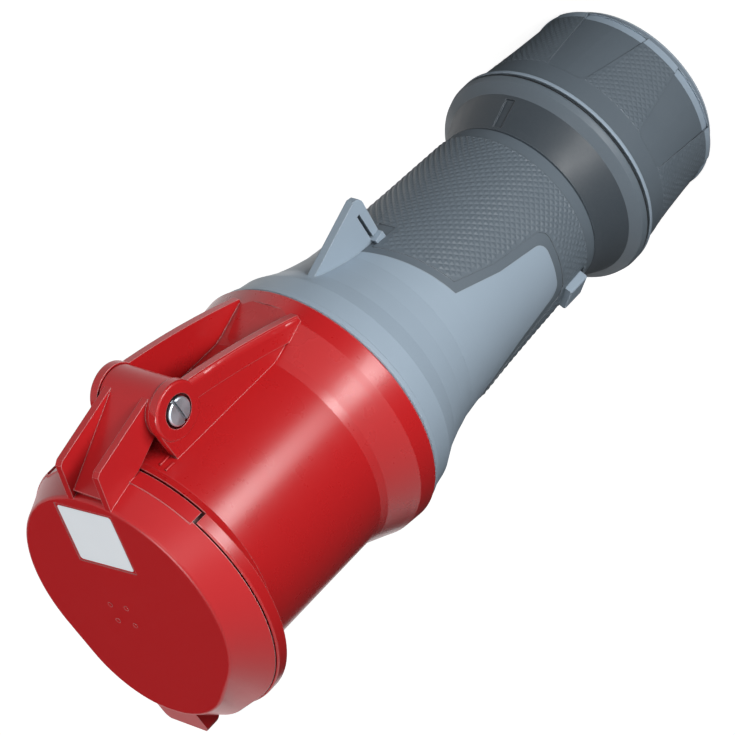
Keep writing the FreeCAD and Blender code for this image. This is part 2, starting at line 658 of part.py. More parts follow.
def terminal_block():
    """Insulating rear insert: clamped flange, terminal pockets and screw windows."""
    flange_low = SOCKET_FLOOR_Z - CARRIER_FLANGE
    body = revolve([
        (0, PLATE_Z), (CARRIER_REAR_RADIUS, PLATE_Z), (CARRIER_REAR_RADIUS, flange_low),
        (CARRIER_FLANGE_RADIUS, flange_low), (CARRIER_FLANGE_RADIUS, SOCKET_FLOOR_Z), (0, SOCKET_FLOOR_Z),
    ])
    for index in range(POLE_COUNT):
        body = body.cut(contact_cavity(pole_place(index), pole_bore(index)))
        body = body.cut(screw_window(pole_place(index), pole_bore(index)))
    body = body.cut(contact_cavity(V(0, 0, 0), PILOT_BORE))
    for place in plate_screw_places():
        body = body.cut(upright(PLATE_SCREW_RADIUS + 0.15, PLATE_Z - 1, SOCKET_FLOOR_Z + 1, place))
    return body.removeSplitter()


def contact_sleeve(place, bore):
    """Turned brass sleeve: slit socket in front, wire clamp behind."""
    top = CARRIER_FACE_Z - SLEEVE_FRONT_SETBACK
    terminal_top = PLATE_Z + TERMINAL_LENGTH
    sleeve = upright(bore / 2 + SLEEVE_WALL, PLATE_Z, top, place)
    clamp = upright(bore / 2 + TERMINAL_WALL, PLATE_Z, terminal_top, place)
    body = sleeve.fuse(clamp)
    body = body.cut(upright(bore / 2, terminal_top + 3, top + 1, place))
    body = body.cut(upright(bore / 2 - 0.4, PLATE_Z - 1, terminal_top - 1, place))
    for angle in (0, 90):
        slit = Part.makeBox(bore * 2, SLEEVE_SLIT, SLEEVE_SLIT_LENGTH + 1,
                            V(place.x - bore, place.y - SLEEVE_SLIT / 2, top - SLEEVE_SLIT_LENGTH))
        slit.rotate(place, AXIS_Z, 45 + angle)
        body = body.cut(slit)
    return body.cut(terminal_screw(place, bore, 0.02)).removeSplitter()


def terminal_screw(place, bore, grow=0.0):
    """Radial clamp screw of one terminal."""
    out = V(place.x, place.y, 0).normalize() if place.Length > 1 else V(0, -1, 0)
    reach = bore / 2 - 1.4
    start = place + out * reach + V(0, 0, PLATE_Z + TERMINAL_LENGTH / 2)
    return Part.makeCylinder(TERMINAL_SCREW_RADIUS + grow, TERMINAL_SCREW_LENGTH, start, out)


def terminal_screws():
    """The five identical clamp screws, each with a driver slot."""
    screws = []
    for index in range(POLE_COUNT):
        place, bore = pole_place(index), pole_bore(index)
        screw = terminal_screw(place, bore)
        out = V(place.x, place.y, 0).normalize()
        tip = place + out * (bore / 2 - 1.4 + TERMINAL_SCREW_LENGTH - 1.0)
        slot = Part.makeBox(2, 0.8, 8, V(0, -0.4, -4))
        slot.rotate(V(0, 0, 0), AXIS_Z, math.degrees(math.atan2(out.y, out.x)))
        slot.translate(tip + V(0, 0, PLATE_Z + TERMINAL_LENGTH / 2))
        screws.append(screw.cut(slot))
    return Part.makeCompound(screws)


def contact_plate():
    """Rear plate that keeps the sleeves in their chambers."""
    plate = disc(CARRIER_REAR_RADIUS, PLATE_Z - PLATE_THICKNESS, PLATE_Z)
    for index in range(POLE_COUNT):
        plate = plate.cut(upright(pole_bore(index) / 2 + 0.2, PLATE_Z - 10, PLATE_Z + 1, pole_place(index)))
    plate = plate.cut(disc(PILOT_BORE / 2 + 0.2, PLATE_Z - 10, PLATE_Z + 1))
    for place in plate_screw_places():
        plate = plate.cut(upright(PLATE_SCREW_RADIUS + 0.15, PLATE_Z - 10, PLATE_Z + 1, place))
    return plate


def plate_screws():
    """Screws through plate and block into the front insert, with slotted heads."""
    screws = []
    for place in plate_screw_places():
        low = PLATE_Z - PLATE_THICKNESS
        shank = upright(PLATE_SCREW_RADIUS - 0.02, low, low + PLATE_SCREW_LENGTH, place)
        head = upright(PLATE_SCREW_RADIUS * 1.9, low - 1.8, low, place)
        slot = Part.makeBox(8, 0.8, 0.9, V(place.x - 4, place.y - 0.4, low - 1.9))
        screws.append(head.cut(slot).fuse(shank).removeSplitter())
    return Part.makeCompound(screws)


# Rear housing, soft grip and lock

def outer_profile():
    """Outer (r, z) line of the rear housing from the front rim to the grip's end."""
    top = JOINT_Z - JOINT_GAP
    return [
        (REAR_RIM_RADIUS - 0.6, top), (REAR_RIM_RADIUS, top - 0.7), (REAR_RIM_RADIUS - 0.2, top - 2.4),
        (REAR_RIM_RADIUS - 0.9, top - 2.9), (45.3, 169.5), (41.8, 162.0), (39.3, 154.0),
        (37.4, 146.0), (36.4, 137.0), (35.2, 122.0), (34.2, 104.0), (33.5, 88.0), (32.6, GRIP_END_Z),
    ]


def inset_profile(depth, low):
    """The outer line moved inwards, kept to stations below a given one."""
    return [(r - depth, z) for r, z in outer_profile() if z < low]


def collar_profile():
    """Cone in front of the collar, crease and outer band, front to rear."""
    cone = [(32.2, GRIP_END_Z - 1.0), (33.4, GRIP_END_Z - 3.4), (COLLAR_CREASE_RADIUS, COLLAR_CREASE_Z)]
    return cone + [(COLLAR_RADIUS - 0.6, COLLAR_EDGE_Z), (COLLAR_RADIUS, COLLAR_REAR_Z + 1.0)]


def grip_region(margin=0.0):
    """Space below the roof lines and beside the tongues, less a margin along them."""
    reach = 60.0
    low = COLLAR_REAR_Z
    top = ROOF_Z - margin
    roof = [V(-reach, 0, low), V(reach, 0, low), V(reach, 0, top - ROOF_SLOPE * reach),
            V(0, 0, top), V(-reach, 0, top - ROOF_SLOPE * reach)]
    face = Part.Face(Part.makePolygon(roof + roof[:1]))
    face.translate(V(0, -reach, 0))
    region = face.extrude(V(0, 2 * reach, 0))
    root, waist, tip = (half + margin for half in (TONGUE_ROOT_HALF + 1, TONGUE_WAIST_HALF, TONGUE_TIP_HALF))
    tip_z = TONGUE_TIP_Z - margin
    tongue = polygon_slab([
        (-root, TONGUE_ROOT_Z + 3), (-waist, TONGUE_WAIST_Z), (-tip, tip_z), (tip, tip_z),
        (waist, TONGUE_WAIST_Z), (root, TONGUE_ROOT_Z + 3), (root, TONGUE_ROOT_Z + 20),
        (-root, TONGUE_ROOT_Z + 20),
    ], -reach, reach)
    tips = [e for e in tongue.Edges if e.BoundBox.XLength > reach and e.BoundBox.ZMax < tip_z + 0.1]
    return region.cut(tongue.makeFillet(TONGUE_CORNER, tips))


def full_outside():
    """Solid inside the outer line, collar included."""
    return revolve([(0, JOINT_Z - JOINT_GAP)] + outer_profile() + collar_profile()
                   + [(COLLAR_RADIUS, COLLAR_REAR_Z), (0, COLLAR_REAR_Z)])


def grip_core():
    """Solid that the soft grip is moulded on."""
    skin = GRIP_THICKNESS
    tube = [(0, 150.0)] + inset_profile(skin, 150.0)
    flange = [(32.2 - skin, GRIP_END_Z - 3.4), (COLLAR_CREASE_RADIUS - skin, COLLAR_CREASE_Z - skin),
              (COLLAR_RADIUS - skin, COLLAR_EDGE_Z - skin), (COLLAR_RADIUS - skin, COLLAR_REAR_Z), (0, COLLAR_REAR_Z)]
    return revolve(tube + flange)


def lock_box(grow, z_low, z_high, floor, top):
    """Block at the lock's place, facing outwards."""
    width = LOCK_WIDTH + 2 * grow
    box = Part.makeBox(top - floor, width, z_high - z_low, V(floor, -width / 2, z_low))
    box.rotate(V(0, 0, 0), AXIS_Z, LOCK_ANGLE - 90)
    return box


def lock_slot():
    """Slot in which the lock slides."""
    return lock_box(LOCK_CLEARANCE, LOCK_Z - LOCK_REAR_GAP, LOCK_Z + LOCK_LENGTH + LOCK_FRONT_GAP,
                    LOCK_FLOOR_RADIUS, LOCK_TOP_RADIUS + 4)


def gland_lock():
    """Small locking slide with a ribbed back."""
    block = lock_box(0, LOCK_Z, LOCK_Z + LOCK_LENGTH, LOCK_FLOOR_RADIUS + LOCK_CLEARANCE, LOCK_TOP_RADIUS)
    crest = [e for e in block.Edges if e.CenterOfMass.sub(V(0, 0, e.CenterOfMass.z)).Length > LOCK_TOP_RADIUS - 0.6]
    return block.makeFillet(0.8, crest)


def fin():
    """Triangular web with a slot along its rear edge and a small cross foot."""
    half = FIN_THICKNESS / 2
    peak, heel = V(0, -54.4, 137.0), V(0, -34.0, 131.8)
    along = (heel - peak).normalize()
    across = V(0, -along.z, along.y)
    web = polygon_slab([
        (-40.0, 166.5), (-43.0, 166.3), (-54.8, 139.4), (peak.y, peak.z), (-52.6, 135.6),
        (heel.y, heel.z), (-32.0, 136.0),
    ], -half, half)
    tip = [e for e in web.Edges if e.BoundBox.YMax < peak.y + 2.5 and e.BoundBox.XLength > half]
    web = web.makeFillet(FIN_PEAK_ROUND, tip)
    start = peak + along * 4.6 + across * FIN_STRIP
    outline = [start, start + along * FIN_SLOT_LENGTH, start + along * FIN_SLOT_LENGTH + across * FIN_SLOT_WIDTH,
               start + across * FIN_SLOT_WIDTH]
    slot = polygon_slab([(p.y, p.z) for p in outline], -half - 1, half + 1)
    toe = heel - along * (FIN_FOOT_HEIGHT + 1.6)
    outline = [toe, toe + along * FIN_FOOT_HEIGHT * 2, toe + along * FIN_FOOT_HEIGHT * 2 + across * FIN_FOOT_LENGTH,
               toe + across * FIN_FOOT_LENGTH]
    foot = polygon_slab([(p.y, p.z) for p in outline], -FIN_FOOT_WIDTH / 2, FIN_FOOT_WIDTH / 2)
    return web.cut(slot).fuse(foot).removeSplitter()


def spigot():
    """Front spigot with its bayonet lugs, entering the front housing."""
    top = SOCKET_FLOOR_Z - CARRIER_FLANGE - SPIGOT_TIP_GAP
    inner = SPIGOT_RADIUS - SPIGOT_WALL
    tube = ring(SPIGOT_RADIUS, inner, JOINT_Z - 8, top)
    seat = ring(SPIGOT_RADIUS + 1, SPIGOT_RADIUS - 2 * RING_SEAL_RADIUS, RING_SEAL_Z - 1.5, RING_SEAL_Z + 1.5)
    lugs = [sector(SPIGOT_RADIUS + LUG_HEIGHT, SPIGOT_RADIUS - 1, LUG_Z, LUG_Z + LUG_LENGTH,
                   180 + i * 360 / LUG_COUNT, LUG_ANGLE / 2) for i in range(LUG_COUNT)]
    return fuse_all([tube.cut(seat)] + lugs)


def housing_hollow():
    """Cable room: wide in front, narrower under the grip."""
    inner = SPIGOT_RADIUS - SPIGOT_WALL
    return revolve([
        (0, JOINT_Z + 60), (inner, JOINT_Z + 60), (inner, 160.0), (33.2, 147.0), (31.6, 130.0),
        (29.4, 100.0), (28.2, 90.0), (28.2, SEAL_SEAT_Z), (0, SEAL_SEAT_Z),
    ])


def rear_housing():
    """Light grey moulding: cable room, fin, tongues, spigot and gland thread."""
    skin_space = full_outside().cut(grip_core()).common(grip_region())
    body = full_outside().cut(skin_space)
    thread = disc(THREAD_RADIUS, THREAD_END_Z, COLLAR_REAR_Z + 4)
    body = fuse_all([body, thread, fin(), spigot()])
    bore = disc(GLAND_BORE_RADIUS, THREAD_END_Z - 1, SEAL_SEAT_Z)
    for tool in (housing_hollow(), bore, lock_slot()):
        body = body.cut(tool)
    return body.removeSplitter()


def collar_notch():
    """Shallow radial groove in the collar's cone, in line with the fin."""
    top, low = GRIP_END_Z - 2.0, COLLAR_CREASE_Z + 1.2
    half = math.degrees(COLLAR_NOTCH_WIDTH / 2 / COLLAR_CREASE_RADIUS)
    outline = [(33.0 - COLLAR_NOTCH_DEPTH, top), (44.0, top), (44.0, low),
               (COLLAR_CREASE_RADIUS - 0.5 - COLLAR_NOTCH_DEPTH, low)]
    groove = revolve(outline, 2 * half)
    return turned(groove, -90 - half)


def knurl_field():
    """Slightly raised field of the grip that carries the knurl."""
    line = [(r + FIELD_RISE, z) for r, z in outer_profile() if z < ROOF_Z + 4]
    inner = [(r - GRIP_THICKNESS / 2, z) for r, z in outer_profile() if z < ROOF_Z + 4]
    band = revolve(line + inner[::-1])
    band = band.common(grip_region(FIELD_MARGIN)).cut(disc(COLLAR_RADIUS, 0, FIELD_LOW_Z))
    half = FIN_THICKNESS / 2 + FIELD_FIN_MARGIN
    return band.cut(Part.makeBox(2 * half, COLLAR_RADIUS, 30, V(-half, -COLLAR_RADIUS, FIELD_FIN_Z)))


def grip_cover():
    """Dark soft grip with the flared collar, moulded over the housing."""
    skin = full_outside().cut(grip_core()).common(grip_region())
    skin = skin.cut(disc(THREAD_RADIUS, 0, COLLAR_REAR_Z + 4)).fuse(knurl_field())
    skin = skin.cut(collar_notch()).cut(fin()).cut(lock_slot())
    return skin.removeSplitter()


def housing_gasket():
    """Seal ring between the two housings."""
    centre = (SPIGOT_RADIUS - 2 * RING_SEAL_RADIUS + SPIGOT_BORE_RADIUS) / 2
    return Part.makeTorus(centre, RING_SEAL_RADIUS, V(0, 0, RING_SEAL_Z))


# Cable gland

def gland_seal():
    """Rubber seal with three inner lips."""
    outer = GLAND_BORE_RADIUS - SEAL_CLEARANCE
    top = SEAL_SEAT_Z
    low = top - SEAL_LENGTH
    lip = SEAL_LENGTH / 6
    inner = [(SEAL_BORE_RADIUS + 2 * (i % 2), low + i * lip) for i in range(7)]
    return revolve([(outer, low), (outer, top)] + inner[::-1])


def clamp_cage():
    """Cage of claws that lean inwards when the nut is tightened."""
    top = SEAL_SEAT_Z - SEAL_LENGTH
    low = top - CAGE_LENGTH
    outer = GLAND_BORE_RADIUS - SEAL_CLEARANCE
    cage = revolve([
        (outer, top), (outer, THREAD_END_Z + 4), (outer - CLAW_LEAN, low),
        (outer - CLAW_LEAN - CAGE_WALL, low), (outer - CAGE_WALL, THREAD_END_Z + 4), (outer - CAGE_WALL, top),
    ])
    for i in range(CLAW_COUNT):
        slit = Part.makeBox(40, CLAW_SLIT, CAGE_LENGTH - 3, V(0, -CLAW_SLIT / 2, low - 1))
        cage = cage.cut(turned(slit, (i + 0.5) * 360 / CLAW_COUNT))
    return cage


def nut_bore_profile():
    """Inner (r, z) line of the nut, rear to front."""
    bore = THREAD_RADIUS + THREAD_CLEARANCE
    return [(NUT_OPENING_RADIUS, 0), (NUT_OPENING_RADIUS, NUT_END_WALL),
            (GLAND_BORE_RADIUS, NUT_END_WALL), (GLAND_BORE_RADIUS, THREAD_END_Z - 2), (bore, THREAD_END_Z - 1),
            (bore, NUT_FRONT_Z)]


def nut_grip_line():
    """Outer (r, z) line of the nut's soft cover, front to rear."""
    front, rear = NUT_FRONT_Z - NUT_RING, NUT_END_CONE
    span = front - rear
    drop = NUT_GRIP_FRONT_RADIUS - NUT_GRIP_REAR_RADIUS
    shares = [(0, 0), (0.25, 0.36), (0.5, 0.65), (0.75, 0.86), (1, 1)]
    return [(NUT_GRIP_FRONT_RADIUS - drop * fall, front - span * along) for along, fall in shares]


def gland_nut():
    """Light grey union nut with a front ring and a tapered rear end."""
    core = [(r - NUT_GRIP_THICKNESS, z) for r, z in nut_grip_line()]
    outside = [(NUT_RING_RADIUS, NUT_FRONT_Z), (NUT_RING_RADIUS, NUT_FRONT_Z - NUT_RING)] + core
    outside += [(NUT_GRIP_REAR_RADIUS - 0.3, NUT_END_CONE), (NUT_END_RADIUS + 1.6, 0.7), (NUT_END_RADIUS, 0)]
    return revolve(outside + nut_bore_profile())


def field_tool(middle):
    """Scoop between two raised fields of the nut's cover, deepest at the rear edge."""
    low, high = NUT_END_CONE - 1, NUT_FIELD_FRONT_Z
    rear, front = NUT_FIELD_REAR_HALF, NUT_FIELD_FRONT_HALF
    outline = [V(60, -rear, low), V(60, rear, low), V(60, front, high), V(60, -front, high)]
    prism = Part.Face(Part.makePolygon(outline + outline[:1])).extrude(V(-40, 0, 0))
    corners = [e for e in prism.Edges if e.BoundBox.XLength > 30 and e.BoundBox.ZMin > high - 0.1]
    prism = prism.makeFillet(NUT_FIELD_CORNER, corners)
    line = [(r - NUT_FIELD_STEP - NUT_FIELD_DEPTH * max(0, high - z) / (high - low), z)
            for r, z in nut_grip_line()]
    core = revolve([(0, line[0][1])] + line + [(line[-1][0], low - 1), (0, low - 1)])
    prism = prism.cut(core)
    prism.rotate(V(0, 0, 0), AXIS_Z, middle - 90)
    return prism


def nut_grip():
    """Dark soft cover of the nut: six scoops leave six raised trapezoid fields."""
    line = nut_grip_line()
    inner = [(r - NUT_GRIP_THICKNESS, z) for r, z in line]
    cover = revolve(line + inner[::-1])
    for i in range(NUT_FIELD_COUNT):
        cover = cover.cut(field_tool(NUT_FIELD_PHASE + i * 360 / NUT_FIELD_COUNT))
    return cover.removeSplitter()


def gland_ring():
    """Slip ring between the turning nut and the standing cage."""
    cage_low = SEAL_SEAT_Z - SEAL_LENGTH - CAGE_LENGTH
    top = cage_low - SLIP_RING_GAP
    outer = GLAND_BORE_RADIUS - SLIP_RING_CLEARANCE
    return ring(outer, NUT_OPENING_RADIUS - 1, NUT_END_WALL + SLIP_RING_CLEARANCE, top)


def main():
    """Build and write every piece."""
    save("front_housing", front_housing())
    save("lid", lid())
    save("lid_gasket", lid_gasket())
    save("hinge_pin", hinge_pin())
    save("hinge_nut", hinge_nut())
    save("lid_spring", lid_spring())
    save("contact_carrier", contact_carrier())
    save("terminal_block", terminal_block())
    names = ("contact_earth", "contact_l1", "contact_l2", "contact_l3", "contact_neutral")
    for index, name in enumerate(names):
        save(name, contact_sleeve(pole_place(index), pole_bore(index)))
    save("contact_pilot", contact_sleeve(V(0, 0, 0), PILOT_BORE))
    save("terminal_screws", terminal_screws())
    save("contact_plate", contact_plate())
    save("plate_screws", plate_screws())
    save("rear_housing", rear_housing())
    save("grip_cover", grip_cover())
    save("gland_lock", gland_lock())
    save("housing_gasket", housing_gasket())
    save("gland_seal", gland_seal())
    save("clamp_cage", clamp_cage())
    save("gland_ring", gland_ring())
    save("gland_nut", gland_nut())
    save("nut_grip", nut_grip())


main()
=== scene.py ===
"""Industrial cable coupler: finishes, small moulded detail, light and camera."""

import logging
import math
from collections.abc import Callable
from dataclasses import dataclass, replace
from enum import Enum

import bmesh
import bpy
from mathutils import Matrix, Vector
from mathutils.bvhtree import BVHTree

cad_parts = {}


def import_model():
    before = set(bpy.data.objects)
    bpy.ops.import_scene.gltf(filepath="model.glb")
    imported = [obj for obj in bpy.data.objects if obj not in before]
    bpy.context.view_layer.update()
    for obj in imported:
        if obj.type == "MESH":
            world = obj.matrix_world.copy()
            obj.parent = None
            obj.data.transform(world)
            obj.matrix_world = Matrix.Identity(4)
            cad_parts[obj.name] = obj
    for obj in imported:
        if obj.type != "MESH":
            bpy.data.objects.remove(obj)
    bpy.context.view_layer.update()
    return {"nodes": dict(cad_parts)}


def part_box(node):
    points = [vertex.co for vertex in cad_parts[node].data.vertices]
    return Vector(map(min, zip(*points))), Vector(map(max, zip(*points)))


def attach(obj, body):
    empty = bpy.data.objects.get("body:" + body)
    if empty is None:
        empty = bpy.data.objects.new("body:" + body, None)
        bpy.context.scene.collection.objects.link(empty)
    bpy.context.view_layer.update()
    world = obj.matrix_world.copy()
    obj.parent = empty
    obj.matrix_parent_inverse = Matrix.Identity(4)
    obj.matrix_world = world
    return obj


LOG = logging.getLogger("coupler")
MM_PER_M = 1000.0
Colour = tuple[float, float, float]
Point = tuple[float, float, float]


class Ride(Enum):
    """Bodies of the coupler that the added pieces move with."""

    HOUSING = "housing"
    LID = "lid"
    NUT = "nut"


class Grain(Enum):
    """Surface grain of a moulding, as size and depth in millimetres."""

    POLISHED = (0.9, 0.004)
    SPARK = (0.35, 0.012)
    RUBBER = (0.25, 0.02)

    @property
    def size(self) -> float:
        """Return the grain's size in millimetres."""
        return self.value[0]

    @property
    def depth(self) -> float:
        """Return the grain's depth in metres."""
        return self.value[1] / MM_PER_M


# Node helpers


class Graph:
    """A node tree with short calls for adding and joining nodes."""

    # Places of the sockets on a Mix node that mixes colours
    MIX_FACTOR, MIX_LOW, MIX_HIGH, MIX_RESULT = 0, 6, 7, 2

    def __init__(self, tree: bpy.types.NodeTree) -> None:
        """Keep the tree to work on."""
        self.tree = tree

    def add(self, kind: str, inputs: dict | None = None, **settings: object) -> bpy.types.Node:
        """Add one node.

        Args:
            kind: Blender's type name of the node.
            inputs: values or sockets for its inputs, by name or index.
            settings: attributes set on the node itself.

        Returns:
            The new node.
        """
        node = self.tree.nodes.new(kind)
        for name, value in settings.items():
            setattr(node, name, value)
        for key, value in (inputs or {}).items():
            if isinstance(value, bpy.types.NodeSocket):
                self.join(value, node.inputs[key])
            else:
                node.inputs[key].default_value = value
        return node

    def join(self, source: bpy.types.NodeSocket, target: bpy.types.NodeSocket) -> None:
        """Link an output to an input."""
        self.tree.links.new(source, target)

    def math(self, operation: str, *values: object) -> bpy.types.NodeSocket:
        """Add a math node.

        Args:
            operation: name of the operation.
            values: numbers or sockets, in order.

        Returns:
            Its output socket.
        """
        node = self.add("ShaderNodeMath", dict(enumerate(values)), operation=operation)
        return node.outputs[0]

    def mix(self, factor: bpy.types.NodeSocket, low: object, high: object) -> bpy.types.NodeSocket:
        """Mix two colours.

        Args:
            factor: share of the second colour.
            low: first colour, as a socket or a value.
            high: second colour, as a socket or a value.

        Returns:
            The mixed colour.
        """
        inputs = {self.MIX_FACTOR: factor, self.MIX_LOW: low, self.MIX_HIGH: high}
        return self.add("ShaderNodeMix", inputs, data_type="RGBA").outputs[self.MIX_RESULT]

    def remap(
        self, value: bpy.types.NodeSocket, source: tuple[float, float], target: tuple[float, float]
    ) -> bpy.types.NodeSocket:
        """Map one range of a value to another, without leaving it.

        Args:
            value: the value.
            source: range that it is read in.
            target: range that it is given in.

        Returns:
            The mapped value.
        """
        inputs = {
            "Value": value,
            "From Min": source[0],
            "From Max": source[1],
            "To Min": target[0],
            "To Max": target[1],
        }
        return self.add("ShaderNodeMapRange", inputs).outputs[0]

    def noise(
        self, place: bpy.types.NodeSocket, scale: float | bpy.types.NodeSocket, detail: float
    ) -> bpy.types.NodeSocket:
        """Add a noise texture.

        Args:
            place: coordinates that it is laid on.
            scale: waves per metre.
            detail: number of finer layers.

        Returns:
            The noise, from 0 to 1.
        """
        inputs = {"Vector": place, "Scale": scale, "Detail": detail}
        return self.add("ShaderNodeTexNoise", inputs).outputs[0]

    def place(self) -> bpy.types.NodeSocket:
        """Return the object coordinates."""
        return self.add("ShaderNodeTexCoord").outputs["Object"]


def new_material(name: str) -> tuple[bpy.types.Material, Graph, bpy.types.Node]:
    """Start a material.

    Args:
        name: its name.

    Returns:
        The material, its graph and its Principled shader.
    """
    material = bpy.data.materials.new(name)
    material.use_nodes = True
    graph = Graph(material.node_tree)
    return material, graph, graph.tree.nodes["Principled BSDF"]


def opaque(colour: Colour, gain: float = 1.0) -> tuple[float, ...]:
    """Return a colour times a gain, at full alpha."""
    return tuple(min(1.0, part * gain) for part in colour) + (1.0,)


def shader_group(
    name: str, inputs: dict[str, tuple[str, object]], outputs: dict[str, str]
) -> tuple[bpy.types.NodeTree, Graph, bpy.types.Node, bpy.types.Node]:
    """Start a shader node group.

    Args:
        name: name of the group.
        inputs: socket type and default value of each input.
        outputs: socket type of each output.

    Returns:
        The group, its graph, its input node and its output node.
    """
    group = bpy.data.node_groups.new(name, "ShaderNodeTree")
    for label, (kind, value) in inputs.items():
        socket = group.interface.new_socket(label, in_out="INPUT", socket_type=kind)
        socket.default_value = value
    for label, kind in outputs.items():
        group.interface.new_socket(label, in_out="OUTPUT", socket_type=kind)
    graph = Graph(group)
    return group, graph, graph.add("NodeGroupInput"), graph.add("NodeGroupOutput")


class EffectLibrary:
    """Shader groups that several finishes share, each built once."""

    # Scale and detail of each noise
    GRAIN_DETAIL = 2.0
    WAVE = (45.0, 1.0)
    CLOUD = (22.0, 3.0)
    SMEAR = (130.0, 4.0)
    DUST_SPECK = (900.0, 5.0)
    DUST_PATCH = (60.0, 3.0)
    EDGE_SAMPLES = 6
    # Cosine of the bevel's turn at which the painted edge highlight starts, and is at full
    # strength
    EDGE_TURN = (0.995, 0.8)
    SKY_SAMPLES = 8
    # Open share of the sky at which painted shade in a corner starts, and is darkest
    CREVICE_SKY = (0.62, 0.18)

    def __init__(self) -> None:
        """Build the groups."""
        self.skin = self._moulded_skin()
        self.edge = self._edge_light()
        self.crevice_shade = self._crevice_shade()
        self.band = self._axial_band()
        self.dust = self._settled_dust()

    def _moulded_skin(self) -> bpy.types.NodeTree:
        """Make the fine grain and slow waviness of a moulded surface.

        Returns:
            The node group.
        """
        group, graph, start, end = shader_group(
            "MouldedSkin",
            {"Grain Size": ("NodeSocketFloat", 0.4), "Waviness": ("NodeSocketFloat", 0.2)},
            {"Height": "NodeSocketFloat", "Tone": "NodeSocketFloat", "Gloss": "NodeSocketFloat"},
        )
        place = graph.place()
        scale = graph.math("DIVIDE", MM_PER_M, start.outputs["Grain Size"])
        grain = graph.noise(place, scale, self.GRAIN_DETAIL)
        slow = graph.math("MULTIPLY", graph.noise(place, *self.WAVE), start.outputs["Waviness"])
        graph.join(graph.math("ADD", grain, slow), end.inputs["Height"])
        graph.join(graph.noise(place, *self.CLOUD), end.inputs["Tone"])
        graph.join(graph.noise(place, *self.SMEAR), end.inputs["Gloss"])
        return group

    def _edge_light(self) -> bpy.types.NodeTree:
        """Make rounded normals, and a mask along the sharp edges of a moulding for a painted
        highlight.

        Returns:
            The node group.
        """
        group, graph, start, end = shader_group(
            "EdgeLight",
            {"Radius": ("NodeSocketFloat", 0.0004)},
            {"Normal": "NodeSocketVector", "Edge": "NodeSocketFloat"},
        )
        bevel = graph.add(
            "ShaderNodeBevel", {"Radius": start.outputs["Radius"]}, samples=self.EDGE_SAMPLES
        )
        flat = graph.add("ShaderNodeNewGeometry").outputs["Normal"]
        turn = graph.add(
            "ShaderNodeVectorMath", {0: bevel.outputs[0], 1: flat}, operation="DOT_PRODUCT"
        )
        edge = graph.remap(turn.outputs["Value"], self.EDGE_TURN, (0.0, 1.0))
        graph.join(bevel.outputs[0], end.inputs["Normal"])
        graph.join(edge, end.inputs["Edge"])
        return group

    def _crevice_shade(self) -> bpy.types.NodeTree:
        """Make a mask of narrow gaps, slots and corners, where shade is painted.

        Returns:
            The node group.
        """
        group, graph, start, end = shader_group(
            "CreviceShade", {"Reach": ("NodeSocketFloat", 0.003)}, {"Mask": "NodeSocketFloat"}
        )
        reach = {"Distance": start.outputs["Reach"]}
        sky = graph.add("ShaderNodeAmbientOcclusion", reach, samples=self.SKY_SAMPLES)
        mask = graph.remap(sky.outputs["AO"], self.CREVICE_SKY, (0.0, 1.0))
        graph.join(mask, end.inputs["Mask"])
        return group

    def _axial_band(self) -> bpy.types.NodeTree:
        """Make a mask of a stretch along the coupler's axis.

        Returns:
            The node group.
        """
        group, graph, start, end = shader_group(
            "AxialBand",
            {"Low": ("NodeSocketFloat", 0.0), "High": ("NodeSocketFloat", 1.0)},
            {"Mask": "NodeSocketFloat"},
        )
        station = graph.add("ShaderNodeSeparateXYZ", {"Vector": graph.place()}).outputs["Z"]
        above = graph.math("GREATER_THAN", station, start.outputs["Low"])
        below = graph.math("LESS_THAN", station, start.outputs["High"])
        graph.join(graph.math("MULTIPLY", above, below), end.inputs["Mask"])
        return group

    def _settled_dust(self) -> bpy.types.NodeTree:
        """Make a thin uneven dust mask, in patches.

        Returns:
            The node group.
        """
        group, graph, start, end = shader_group(
            "SettledDust", {"Cover": ("NodeSocketFloat", 0.2)}, {"Mask": "NodeSocketFloat"}
        )
        place = graph.place()
        specks = graph.noise(place, *self.DUST_SPECK)
        both = graph.math("MULTIPLY", specks, graph.noise(place, *self.DUST_PATCH))
        graph.join(graph.math("MULTIPLY", both, start.outputs["Cover"]), end.inputs["Mask"])
        return group


# Finishes

DUST_COLOUR: Colour = (0.5, 0.48, 0.45)
# Part of the smear noise that is spread over a finish's range of roughness
SMEAR_RANGE = (0.3, 0.7)


@dataclass(frozen=True)
class Band:
    """Stretch along the axis with a colour of its own: a second tone of the part, or painted
    shade.
    """

    low: float
    high: float
    colour: Colour


